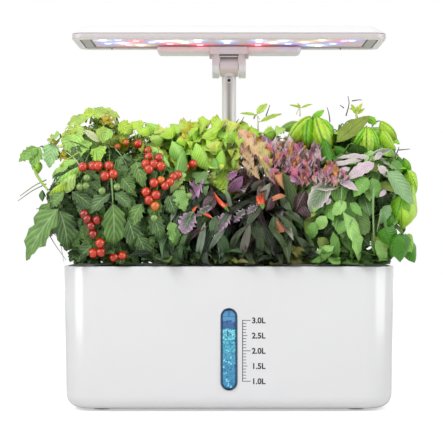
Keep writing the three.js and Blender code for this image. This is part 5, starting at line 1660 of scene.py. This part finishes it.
def smoothed(line):
    # a smooth run of points through the given ones
    line = np.array(line)
    ends = np.concatenate([[2 * line[0] - line[1]], line, [2 * line[-1] - line[-2]]])
    result = []
    for i in range(1, len(ends) - 2):
        for t in np.arange(0, 1, 0.25):
            a, b, c, d = ends[i - 1:i + 3]
            result.append(b + 0.5 * t * (c - a + t * (2 * a - 5 * b + 4 * c - d + t * (3 * (b - c) + d - a))))
    return result + [line[-1]]


def addFlower(plant, u, v):
    # five narrow yellow petals round a small cone
    spot = fromPhoto(u, v, leafDepth(u, v) - 9)
    lean = unit((chance.uniform(-0.4, 0.4), -1, chance.uniform(-0.6, 0.2)))
    side = unit(np.cross(lean, (0, 0, 1)))
    for k in range(5):
        turn = k * 2 * math.pi / 5 + chance.uniform(-0.2, 0.2)
        along = side * math.cos(turn) + np.cross(side, lean) * math.sin(turn) - lean * 0.3
        plant.addLeaf("petal", spot, along, lean, 6.2, 3.0, leafTones["petal"], k, (1.0, 1.0, 1.0))
    plant.addStem([spot, spot + lean * 1.6, spot + lean * 3.2], [0.9, 0.8, 0.3], (0.85, 0.55, 0.03), 5)
    plant.stalk(spot, spot + np.array([0, 12, 4]), 0.5, freshGreen, 2.0)


def addChili(plant, tip, foot, radius, color, lift):
    # a tapered pod between its foot at the calyx and its pointed tip
    ends = [fromPhoto(u, v, leafDepth(u, v) - lift) for u, v in (foot, tip)]
    way = ends[1] - ends[0]
    side = unit(np.cross(way, (0, 1, 0)))
    shares = np.linspace(0, 1, 9)
    line = [ends[0] + way * s + side * math.sin(s * math.pi) * radius * 0.5 for s in shares]
    widths = [radius * w for w in (0.55, 0.95, 1.0, 0.97, 0.88, 0.72, 0.5, 0.28, 0.08)]
    shape = stemShape(line, widths, 10)
    plant.addShape(shape, painted(shape, color), 2)
    plant.addStem([ends[0] - unit(way) * 5, ends[0] - unit(way) * 0.5, ends[0] + unit(way) * 0.6],
                  [0.8, 1.0, radius * 0.8], freshGreen, 6)


# tones by name: the leaf's heart, rim and tip
leafTones = {
    "deep": tripleOf((0.045, 0.105, 0.030), 1.0, 1.4), "mid": tripleOf((0.13, 0.26, 0.065), 0.9, 1.2),
    "leaf": tripleOf((0.085, 0.165, 0.060), 0.9, 1.25),
    "light": tripleOf((0.24, 0.42, 0.11), 0.9, 1.15), "top": tripleOf((0.42, 0.62, 0.14), 0.95, 1.1),
    "lime": tripleOf((0.46, 0.68, 0.08), 0.9, 1.1), "topPale": tripleOf((0.34, 0.50, 0.18), 0.9, 1.1),
    "limeMid": tripleOf((0.26, 0.46, 0.07), 0.95, 1.2),
    "yellow": tripleOf((0.66, 0.76, 0.16), 1.0, 1.1), "white": tripleOf((0.78, 0.82, 0.50), 1.0, 1.05),
    "olive": tripleOf((0.20, 0.27, 0.06), 0.9, 1.1), "grey": tripleOf((0.17, 0.30, 0.16), 0.95, 1.15),
    "black": tripleOf((0.010, 0.022, 0.010), 1.3, 2.0), "blackLit": tripleOf((0.035, 0.075, 0.030), 1.2, 1.6),
    "slate": tripleOf((0.15, 0.20, 0.16), 0.8, 1.3),
    "plum": ((0.030, 0.014, 0.018), (0.070, 0.028, 0.045), (0.06, 0.03, 0.04)),
    "pinkLeaf": ((0.34, 0.13, 0.30), (0.76, 0.38, 0.70), (0.80, 0.48, 0.74)),
    "fringed": ((0.03, 0.10, 0.04), (0.84, 0.50, 0.80), (0.80, 0.44, 0.74)),
    "violet": ((0.22, 0.09, 0.20), (0.50, 0.26, 0.48), (0.66, 0.46, 0.66)),
    "magenta": ((0.40, 0.08, 0.18), (0.74, 0.24, 0.44), (0.84, 0.46, 0.62)),
    "rose": ((0.72, 0.48, 0.50), (0.88, 0.62, 0.70), (0.86, 0.56, 0.66)),
    "rust": ((0.42, 0.24, 0.10), (0.50, 0.20, 0.12), (0.40, 0.12, 0.10)),
    "sand": ((0.62, 0.50, 0.26), (0.66, 0.42, 0.30), (0.64, 0.34, 0.30)),
    "rib": ((0.66, 0.68, 0.24), (0.50, 0.44, 0.14), (0.56, 0.34, 0.20)),
    "sandPale": ((0.72, 0.56, 0.36), (0.80, 0.62, 0.50), (0.80, 0.56, 0.50)),
    "creamPink": ((0.72, 0.40, 0.56), (0.85, 0.66, 0.76), (0.85, 0.62, 0.74)),
    "flame": ((0.66, 0.36, 0.08), (0.74, 0.24, 0.06), (0.60, 0.12, 0.06)),
    "cream": ((0.78, 0.68, 0.70), (0.88, 0.78, 0.84), (0.90, 0.80, 0.86)),
    "creamGreen": ((0.06, 0.17, 0.04), (0.80, 0.70, 0.74), (0.62, 0.60, 0.56)),
    "pinkWhite": ((0.80, 0.60, 0.74), (0.88, 0.74, 0.84), (0.88, 0.78, 0.84)),
    "basil": tripleOf((0.20, 0.50, 0.03), 0.85, 1.15), "basilLit": tripleOf((0.40, 0.68, 0.07), 0.8, 1.1),
    "basilDeep": tripleOf((0.06, 0.22, 0.02), 0.9, 1.3), "mint": tripleOf((0.15, 0.33, 0.08), 0.9, 1.2),
    "mintLight": tripleOf((0.27, 0.48, 0.16), 0.95, 1.1), "petal": tripleOf((0.85, 0.72, 0.05)),
    "orange": tripleOf((0.82, 0.20, 0.015)), "chili": tripleOf((0.84, 0.085, 0.010)),
    "tomatoRed": tripleOf((0.78, 0.050, 0.008)),
    "tomatoDark": tripleOf((0.42, 0.02, 0.008)), "unripe": tripleOf((0.26, 0.44, 0.10)),
    "twig": tripleOf((0.04, 0.045, 0.025)), "root": tripleOf((0.62, 0.60, 0.52)),
}

plainTones = {"cream", "pinkWhite", "white", "creamGreen", "fringed", "pinkLeaf", "violet", "rose"}

# the oval canopies of each pod, centre then radii in mm
canopies = {
    "1": [((-116, -42, 186), (64, 34, 56)), ((-66, -48, 186), (30, 26, 50))],
    "2": [((-33, -44, 166), (42, 30, 38))],
    "3": [((36, -44, 166), (42, 30, 38))],
    "4": [((112, -42, 184), (56, 34, 52))],
    "5": [((-122, 24, 206), (60, 44, 56)), ((-128, 4, 250), (34, 28, 28)), ((-74, 8, 224), (34, 28, 44))],
    "6": [((-34, 14, 218), (46, 34, 52))],
    "7": [((44, 8, 210), (48, 36, 48)), ((88, -14, 214), (24, 16, 24))],
    "8": [((118, 24, 212), (58, 42, 58))],
}


def filler(kind, count, length, aspect, droop, tones, **others):
    return {"kind": kind, "count": count, "length": length, "aspect": aspect, "droop": droop, "tones": tones,
            **others}


paleLayerShade = (1.0, 0.7, 0.45)  # the painted shade of the inner layers stays light in pale plants


plantPlans = {
    "1": {
        "bright": (1.3, 1.3, 1.2), "kind": "tomato",
        "skirts": [("tomato", 60, (-142, -70), (-66, -30), 20, 0.7, ["mid", "leaf", "deep", "leaf"])],
        "stems": {"tops": [(-140, -45, 215), (-108, -42, 230), (-75, -45, 215)], "radius": 2.4,
            "color": (0.12, 0.25, 0.05)},
        "fillers": [filler("compound", 96, 46, 0.86, 0.75, ["mid", "leaf", "deep", "light", "leaf"]),
            filler("compound", 40, 42, 0.86, 0.8, ["mid", "leaf", "deep", "leaf"])],
        "leaves": [(60, 211, 71, 252, 24, "leaf", 9), (58, 209, 21, 256, 29, "mid", 12),
            (58, 216, 46, 238, 14, "leaf", 8), (50, 203, 34, 228, 13, "mid", 7), (113, 204, 115, 251, 23, "mid", 10),
            (110, 194, 84, 213, 14, "leaf", 8), (115, 193, 132, 206, 14, "leaf", 8),
            (92, 246, 72, 264, 18, "leaf", 6), (128, 220, 138, 250, 20, "leaf", 6),
            (142, 204, 128, 226, 17, "mid", 7), (152, 214, 163, 240, 16, "leaf", 6),
            (64, 193, 48, 206, 16, "mid", 6), (72, 192, 96, 207, 18, "leaf", 6), (122, 254, 146, 264, 14, "leaf", 5),
            (136, 162, 143, 184, 16, "mid", 8), (122, 178, 134, 192, 15, "mid", 6),
            (168, 196, 176, 214, 15, "leaf", 6), (160, 200, 150, 222, 15, "mid", 5),
            (100, 214, 90, 232, 12, "deep", 2), (98, 258, 84, 265, 12, "leaf", 5),
            (138, 236, 150, 262, 16, "leaf", 5)],
        "shoots": [("light", 1.1, 9, [(111, 176), (112, 188), (113, 205)]),
            ("root", 0.5, 4, [(50, 236), (56, 246), (66, 260)]),
            ("root", 0.4, 3, [(52, 232), (60, 240), (62, 252), (64, 262)]),
            ("twig", 0.5, 5, [(42, 208), (36, 209)])],
        "fruit": [("tomatoRed", 4.6, 1.0, 9, [(109, 166), (105, 176), (113, 174), (98, 166), (93, 166), (83, 167)]),
            ("tomatoRed", 4.5, 1.0, 9, [(146, 192), (156, 195), (149, 200), (154, 183)]),
            ("orange", 4.3, 1.0, 9, [(155, 206)]),
            ("tomatoDark", 4.2, 1.0, 7, [(87, 219), (97, 220), (91, 226), (93, 234), (84, 214)]),
            ("tomatoRed", 4.6, 1.0, 9, [(100, 243), (93, 253), (101, 252), (114, 257), (122, 256)]),
            ("unripe", 3.6, 1.0, 8, [(87, 178), (80, 187), (86, 186), (102, 191), (117, 187), (154, 218)])]},
    "2": {
        "bright": (2.5, 2.4, 2.3), "kind": "pepper",
        "skirts": [("pepper", 60, (-70, 0), (-66, -30), 22, 0.34, ["black", "blackLit", "deep", "olive"])],
        "stems": {"tops": [(-50, -46, 186), (-30, -45, 194), (-10, -46, 186)], "radius": 2.2,
            "color": (0.05, 0.10, 0.03)},
        "fillers": [filler("pepper", 120, 38, 0.26, 0.95, ["black", "black", "blackLit", "slate", "deep"])],
        "leaves": [(196, 214, 182, 262, 8, "blackLit", 6), (205, 222, 196, 264, 7, "slate", 7),
            (214, 230, 202, 262, 8, "black", 8), (208, 226, 186, 240, 6, "plum", 7),
            (222, 232, 228, 262, 8, "blackLit", 6), (226, 226, 208, 250, 6, "slate", 8),
            (180, 226, 168, 256, 9, "deep", 5), (190, 230, 176, 264, 7, "deep", 6),
            (194, 212, 181, 231, 19, "fringed", 10, "fringe"), (200, 180, 193, 192, 13, "pinkLeaf", 9, "fringe"),
            (204, 186, 212, 204, 12, "plum", 6), (214, 196, 204, 212, 12, "plum", 5),
            (212, 206, 197, 214, 7, "fringed", 9, "fringe"), (230, 212, 218, 228, 13, "fringed", 10, "fringe"),
            (176, 190, 186, 210, 16, "mid", 6, "tomato"), (196, 172, 206, 190, 15, "leaf", 5, "tomato"),
            (216, 168, 208, 188, 13, "olive", 4, "lettuce"), (182, 172, 172, 188, 14, "light", 6, "tomato"),
            (216, 216, 212, 236, 9, "blackLit", 9), (170, 222, 178, 246, 13, "mid", 5, "tomato")],
        "fruit": [
            ("tomatoRed", 4.0, 1.0, 9, [(165, 186), (170, 182), (173, 177), (178, 175), (186, 167), (193, 164)]),
            ("orange", 3.8, 1.0, 8, [(161, 180)]),
            ("unripe", 3.2, 1.0, 8, [(184, 175), (206, 175), (182, 189), (183, 195), (189, 196)])],
        "chilies": [((214, 192), (226, 208), 2.2, "chili", 14), ((231, 199), (226, 208), 1.6, "chili", 14),
            ((198, 206), (193, 212), 1.5, "tomatoRed", 12), ((213, 219), (204, 214), 1.5, "chili", 10)]},
    "3": {
        "bright": (1.9, 1.4, 1.5), "kind": "pepper",
        "skirts": [("pepper", 60, (0, 70), (-66, -30), 22, 0.34, ["black", "blackLit", "deep", "olive"])],
        "stems": {"tops": [(15, -46, 190), (36, -45, 198), (58, -46, 188)], "radius": 2.2,
            "color": (0.08, 0.07, 0.04)},
        "fillers": [filler("pepper", 124, 40, 0.24, 0.95, ["black", "black", "blackLit", "slate", "plum", "deep"])],
        "leaves": [(250, 224, 240, 262, 8, "slate", 8), (256, 226, 262, 264, 8, "blackLit", 7),
            (262, 222, 278, 262, 7, "black", 8), (268, 226, 292, 258, 7, "deep", 7),
            (246, 226, 226, 254, 7, "blackLit", 7), (276, 214, 304, 244, 8, "deep", 8),
            (284, 212, 308, 226, 8, "blackLit", 7), (240, 232, 232, 262, 7, "black", 6),
            (262, 206, 246, 224, 9, "blackLit", 8), (296, 236, 316, 260, 8, "blackLit", 5),
            (290, 246, 304, 262, 9, "olive", 5), (274, 216, 272, 240, 8, "deep", 6),
            (244, 168, 224, 184, 16, "plum", 8, "basil"), (243, 176, 221, 190, 12, "pinkLeaf", 11, "basil"),
            (238, 172, 226, 178, 9, "pinkLeaf", 12, "fringe"), (256, 172, 246, 190, 13, "plum", 7, "basil"),
            (266, 176, 262, 187, 10, "violet", 9, "basil"), (292, 190, 283, 207, 12, "violet", 10, "basil"),
            (306, 190, 294, 212, 16, "plum", 8, "basil"), (300, 202, 312, 214, 13, "plum", 7, "basil"),
            (246, 210, 232, 220, 10, "fringed", 10, "fringe"), (258, 206, 246, 212, 8, "fringed", 9, "fringe"),
            (272, 196, 266, 208, 11, "plum", 6, "basil"), (286, 196, 268, 200, 6, "rust", 7),
            (276, 218, 282, 232, 7, "rust", 9, "frill")],
        "chilies": [((262, 186), (263, 206), 2.7, "chili", 14), ((257, 195), (261, 205), 2.0, "chili", 13)]},
    "4": {
        "bright": (1.6, 1.65, 1.35), "kind": "mint",
        "skirts": [("mint", 84, (70, 150), (-66, -30), 20, 0.62, ["mint", "deep", "mint", "mintLight"])],
        "stems": {"tops": [(95, -45, 205), (122, -42, 218), (150, -42, 200)], "radius": 2.2,
            "color": (0.22, 0.38, 0.12)},
        "fillers": [filler("mint", 130, 30, 0.58, 0.8, ["mint", "mint", "deep", "mintLight", "olive"])],
        "leaves": [(343, 212, 367, 259, 19, "mintLight", 10), (334, 246, 306, 265, 13, "mintLight", 9),
            (352, 220, 336, 232, 12, "mint", 8), (346, 202, 332, 214, 13, "mintLight", 8),
            (350, 203, 363, 214, 11, "mint", 7), (368, 178, 354, 194, 15, "mint", 8),
            (372, 178, 378, 196, 13, "mint", 7), (376, 240, 388, 265, 11, "mintLight", 8),
            (370, 242, 378, 256, 8, "mint", 7), (384, 220, 396, 234, 12, "mint", 7),
            (390, 205, 380, 222, 12, "grey", 7), (316, 222, 308, 240, 12, "mint", 6),
            (326, 216, 316, 230, 12, "mintLight", 7), (333, 232, 338, 262, 10, "mint", 6),
            (348, 238, 356, 262, 9, "mint", 6), (318, 238, 330, 250, 12, "olive", 5),
            (387, 172, 417, 200, 25, "grey", 24), (391, 162, 405, 171, 11, "mint", 8),
            (372, 156, 391, 147, 8, "creamGreen", 11), (377, 158, 397, 168, 8, "creamGreen", 11),
            (370, 158, 338, 154, 7, "cream", 10), (374, 163, 349, 175, 14, "pinkWhite", 12),
            (362, 160, 322, 165, 6, "cream", 9), (340, 186, 313, 184, 15, "creamGreen", 11),
            (338, 180, 358, 188, 9, "pinkWhite", 11), (330, 182, 307, 210, 21, "creamGreen", 10),
            (375, 160, 383, 150, 6, "cream", 12), (350, 168, 336, 173, 7, "cream", 8),
            (378, 166, 390, 176, 9, "cream", 8), (386, 190, 380, 196, 5, "pinkWhite", 9),
            (331, 199, 326, 204, 5, "pinkWhite", 9), (324, 196, 314, 216, 12, "deep", 5),
            (396, 246, 384, 262, 10, "mint", 5)],
        "shoots": [("mintLight", 1.4, 10, [(374, 188), (373, 206), (374, 240)]),
            ("mintLight", 1.0, 9, [(381, 212), (377, 232)]), ("mintLight", 0.9, 9, [(342, 186), (341, 204)]),
            ("twig", 0.7, 8, [(395, 158), (398, 150), (399, 147)]), ("twig", 0.6, 8, [(399, 150), (410, 149)])]},
    "5": {
        "bright": (2.5, 2.5, 1.9), "kind": "tomato",
        "skirts": [("tomato", 40, (-150, -70), (0, 60), 20, 0.7, ["mid", "deep", "light"])],
        "stems": {"tops": [(-150, 20, 234), (-120, 22, 256), (-85, 15, 244)], "radius": 2.2,
            "color": (0.16, 0.30, 0.06)},
        "fillers": [
            filler("compound", 84, 46, 0.86, 0.55, ["mid", "light", "light", "top"], depths=paleLayerShade,
                   topLight=1.0, topTone="top"),
            filler("compound", 34, 34, 0.86, 0.35, ["top", "light", "top", "lime"], depths=paleLayerShade),
            filler("compound", 44, 40, 0.8, 0.55, ["light", "light", "mid", "top"], depths=paleLayerShade,
                   topLight=1.0, topTone="lime")],
        "leaves": [(88, 119, 65, 122, 13, "top", 9), (92, 116, 108, 107, 13, "top", 9),
            (104, 112, 121, 115, 13, "top", 9), (90, 118, 88, 106, 12, "lime", 8), (84, 128, 68, 139, 17, "top", 8),
            (73, 135, 60, 151, 17, "light", 8), (54, 143, 47, 166, 21, "grey", 10), (40, 147, 31, 169, 14, "mid", 9),
            (38, 148, 18, 160, 13, "mid", 9), (78, 134, 72, 153, 17, "light", 7), (96, 130, 112, 142, 18, "top", 8),
            (100, 146, 97, 160, 17, "limeMid", 8), (78, 160, 50, 173, 10, "light", 9),
            (76, 174, 50, 190, 15, "topPale", 10, "basil"), (66, 182, 44, 194, 9, "lime", 11, "basil"),
            (82, 166, 54, 178, 9, "light", 10, "basil"), (38, 160, 37, 173, 8, "limeMid", 10, "basil"),
            (42, 190, 43, 201, 6, "deep", 7, "basil"), (118, 124, 134, 132, 16, "lime", 8),
            (128, 124, 122, 140, 16, "top", 8), (112, 130, 98, 141, 15, "light", 8),
            (99, 142, 84, 129, 7, "white", 11, "pepper"), (60, 134, 46, 141, 12, "light", 8),
            (88, 140, 80, 152, 13, "light", 7)],
        "shoots": [("lime", 2.0, 9, [(38, 158), (35, 170), (40, 180), (48, 190)]),
            ("light", 0.7, 8, [(46, 180), (34, 186), (20, 196)]),
            ("olive", 0.6, 8, [(46, 184), (32, 191), (18, 201)]),
            ("lime", 1.2, 9, [(60, 166), (70, 158), (80, 152)]),
            ("white", 0.7, 9, [(66, 152), (74, 158), (80, 166)])],
        "flowers": [(107, 119), (110, 122), (104, 121), (62, 156), (59, 155), (125, 142), (52, 139)],
        "fruit": [("orange", 3.6, 1.0, 10, [(117, 147), (126, 143)]), ("tomatoRed", 4.4, 1.0, 12, [(138, 144)]),
            ("tomatoRed", 4.4, 1.0, 14, [(148, 151), (149, 157), (154, 164), (146, 164), (161, 166), (159, 158),
                                         (149, 169)])]},
    "6": {
        "bright": (2.1, 2.2, 1.9), "kind": "basil",
        "skirts": [("lettuce", 30, (-66, -4), (0, 34), 20, 0.7, ["limeMid", "deep"])],
        "stems": {"tops": [(-50, 12, 222), (-32, 12, 236), (-12, 12, 225)], "radius": 3.0,
            "color": (0.40, 0.55, 0.16)},
        "fillers": [
            filler("lettuce", 92, 38, 0.74, 0.45, ["lime", "limeMid", "light", "lime", "yellow"], depths=paleLayerShade,
                   topLight=0.7, topTone="lime")],
        "leaves": [(138, 134, 152, 122, 13, "lime", 8), (158, 129, 143, 121, 11, "limeMid", 8),
            (160, 136, 176, 122, 14, "lime", 8), (186, 129, 170, 120, 11, "top", 8),
            (184, 138, 200, 122, 14, "limeMid", 8), (207, 130, 191, 119, 11, "lime", 8),
            (202, 138, 218, 121, 13, "lime", 8), (229, 133, 213, 120, 11, "top", 8),
            (222, 141, 238, 125, 13, "limeMid", 9), (150, 140, 168, 134, 12, "top", 9),
            (176, 142, 192, 134, 12, "lime", 9), (206, 146, 224, 138, 12, "yellow", 9),
            (172, 141, 185, 161, 17, "light", 9), (196, 143, 212, 169, 19, "limeMid", 11),
            (206, 140, 228, 150, 14, "lime", 9), (190, 138, 192, 120, 18, "lime", 8, "lettuce"),
            (232, 146, 234, 126, 15, "lime", 10, "frill"), (226, 148, 222, 130, 14, "limeMid", 10, "frill"),
            (240, 150, 240, 132, 14, "lime", 10, "lettuce"), (200, 134, 206, 117, 14, "lime", 8, "frill"),
            (212, 136, 220, 118, 16, "lime", 8, "frill"), (226, 140, 234, 120, 16, "yellow", 8, "frill"),
            (236, 146, 246, 124, 16, "lime", 9, "frill"), (232, 162, 244, 148, 13, "yellow", 9, "frill"),
            (222, 150, 226, 172, 12, "limeMid", 10), (150, 146, 166, 156, 13, "light", 8),
            (184, 150, 176, 164, 13, "mid", 7), (140, 134, 136, 120, 14, "lime", 7, "lettuce"),
            (154, 134, 164, 126, 15, "yellow", 8, "lettuce"), (214, 158, 220, 176, 12, "mid", 8),
            (246, 142, 258, 128, 14, "lime", 7, "lettuce"), (180, 132, 186, 120, 12, "yellow", 8, "frill"),
            (236, 152, 232, 170, 10, "limeMid", 9)],
        "flowers": [(186, 132), (190, 127), (184, 138)],
        "shoots": [("twig", 0.62, 6, [(240, 124), (244, 117)]), ("twig", 0.6, 6, [(236, 123), (239, 119)])]},
    "7": {
        "bright": (3.5, 3.1, 3.1), "kind": "frill",
        "skirts": [("frill", 30, (4, 66), (0, 34), 20, 0.7, ["rust", "olive"])],
        "stems": {"tops": [(30, 5, 212), (46, 4, 226), (62, 5, 214)], "radius": 3.0, "color": (0.40, 0.44, 0.14)},
        "fillers": [
            filler("frill", 150, 24, 0.72, 0.35, ["sand", "rose", "sandPale", "magenta", "rib", "sand", "flame",
                                               "creamPink"], depths=paleLayerShade),
            filler("frill", 70, 17, 0.8, 0.35, ["magenta", "flame", "creamPink", "rose", "rust", "sandPale"],
                   depths=paleLayerShade),
            filler("frill", 150, 11, 0.95, 0.3, ["creamPink", "rose", "magenta", "rust", "rose", "flame",
                                                 "magenta"])],
        "leaves": [(266, 168, 242, 129, 11, "sand", 10, "lettuce"), (272, 186, 263, 142, 16, "rib", 12, "lettuce"),
            (254, 172, 245, 144, 14, "sand", 9), (270, 146, 262, 132, 12, "violet", 8, "basil"),
            (290, 158, 289, 133, 12, "pinkWhite", 10, "basil"), (276, 158, 270, 140, 13, "rose", 10),
            (282, 162, 276, 150, 9, "creamPink", 12), (290, 170, 288, 156, 8, "creamPink", 13),
            (298, 170, 301, 158, 8, "creamPink", 12), (308, 172, 306, 160, 8, "magenta", 12),
            (262, 162, 254, 150, 9, "creamPink", 11), (256, 150, 252, 138, 8, "sandPale", 11),
            (316, 180, 324, 170, 8, "creamPink", 12), (250, 176, 246, 160, 9, "sandPale", 11),
            (284, 170, 280, 150, 13, "magenta", 11), (292, 178, 286, 158, 13, "magenta", 12),
            (300, 184, 294, 166, 12, "magenta", 11), (300, 160, 308, 148, 12, "rose", 10),
            (312, 168, 320, 156, 12, "rose", 10), (310, 152, 318, 142, 9, "pinkLeaf", 11),
            (306, 178, 312, 164, 12, "flame", 12), (320, 178, 330, 168, 12, "flame", 11),
            (328, 176, 338, 168, 10, "rust", 11), (302, 186, 306, 174, 11, "flame", 12),
            (284, 190, 276, 172, 9, "rust", 9), (292, 160, 298, 146, 12, "olive", 8, "lettuce"),
            (260, 180, 250, 166, 12, "sand", 10), (250, 160, 244, 150, 10, "rose", 9),
            (252, 138, 244, 128, 10, "rust", 9, "basil"), (260, 158, 256, 140, 12, "rib", 10, "lettuce"),
            (314, 186, 318, 174, 10, "rose", 10), (298, 182, 292, 170, 9, "pinkLeaf", 13, "basil"),
            (262, 134, 276, 128, 12, "limeMid", 8, "lettuce"), (276, 136, 282, 126, 11, "light", 8, "lettuce")],
        "curls": (150, (270, 345), (150, 187), 9, 5.5, 15,
            ["creamPink", "magenta", "rust", "magenta", "rose", "plum", "creamPink", "flame"]),
        "shoots": [("white", 0.9, 8, [(258, 131), (258, 122), (257, 114)]),
            ("twig", 0.62, 6, [(266, 116), (270, 105)])]},
    "8": {
        "bright": (1.4, 1.35, 1.0), "kind": "basil",
        "skirts": [("basil", 40, (74, 150), (0, 60), 20, 0.7, ["basil", "basilDeep"])],
        "stems": {"tops": [(90, 20, 244), (122, 22, 254), (150, 22, 236)], "radius": 2.4,
            "color": (0.20, 0.42, 0.06)},
        "fillers": [
            filler("basil", 120, 34, 0.8, 0.6, ["basil", "basilDeep", "basil", "basilLit"], depths=paleLayerShade,
                   topLight=0.5, topTone="basilLit")],
        "leaves": [(312, 117, 282, 139, 22, "basilLit", 10, "dome"), (310, 117, 304, 148, 22, "basil", 12, "dome"),
            (316, 117, 326, 152, 26, "basilLit", 13, "dome"), (318, 118, 338, 140, 20, "basil", 11, "dome"),
            (322, 136, 330, 156, 16, "basilDeep", 12), (312, 121, 323, 109, 8, "basil", 9, "mint"),
            (366, 128, 352, 148, 18, "basil", 12, "dome"), (367, 127, 366, 154, 22, "basilLit", 14, "dome"),
            (369, 127, 382, 148, 18, "basil", 13, "dome"), (380, 121, 401, 136, 19, "basilLit", 11, "dome"),
            (382, 130, 396, 147, 14, "basilLit", 12), (376, 124, 366, 116, 9, "basil", 9, "mint"),
            (337, 142, 367, 113, 19, "olive", 12, "mint"), (334, 146, 350, 152, 12, "basilDeep", 11),
            (300, 122, 279, 126, 13, "light", 8), (276, 132, 262, 134, 11, "basil", 7),
            (408, 170, 421, 196, 19, "basilLit", 8), (412, 184, 410, 210, 19, "basilLit", 8),
            (404, 192, 396, 218, 20, "basil", 9), (402, 208, 401, 231, 18, "basilLit", 9),
            (404, 158, 416, 172, 12, "basil", 7), (400, 234, 387, 259, 19, "basilDeep", 34),
            (403, 234, 402, 264, 22, "basilDeep", 36), (405, 235, 416, 254, 18, "basil", 33),
            (408, 238, 417, 263, 17, "basilDeep", 34), (384, 228, 393, 250, 19, "basilDeep", 32),
            (398, 156, 406, 168, 10, "basilDeep", 8), (392, 214, 386, 230, 12, "basilDeep", 9),
            (257, 114, 266, 103, 9, "top", 6, "mint"), (256, 115, 241, 112, 4, "top", 6, "mint"),
            (260, 122, 281, 112, 5, "top", 6, "mint"), (301, 108, 290, 104, 3, "lime", 6, "mint"),
            (301, 108, 312, 103, 3, "lime", 6, "mint"), (300, 108, 298, 103, 3, "yellow", 6, "mint"),
            (356, 114, 352, 104, 5, "lime", 7, "mint"), (357, 112, 362, 103, 4, "yellow", 7, "mint"),
            (356, 110, 350, 108, 4, "lime", 7, "mint"), (358, 114, 364, 108, 4, "lime", 7, "mint")],
        "shoots": [("white", 0.8, 7, [(300, 116), (300, 108)]),
            ("yellow", 1.0, 8, [(356, 122), (357, 112), (357, 106)]),
            ("twig", 0.6, 5, [(330, 122), (329, 114), (327, 107)]),
            ("twig", 0.6, 5, [(346, 116), (349, 104), (348, 96)]), ("twig", 0.62, 5, [(344, 108), (340, 105)]),
            ("twig", 0.6, 5, [(352, 101), (358, 100), (362, 100)])]},
}

slotOf = {"1": "tomato_leaf", "2": "pepper_leaf", "3": "purple_leaf", "4": "variegated_leaf",
          "5": "tomato_leaf", "6": "pale_lettuce", "7": "red_lettuce", "8": "basil_leaf"}
for number, slot in slotOf.items():
    growPlant(number, slot)
print("plants grown")
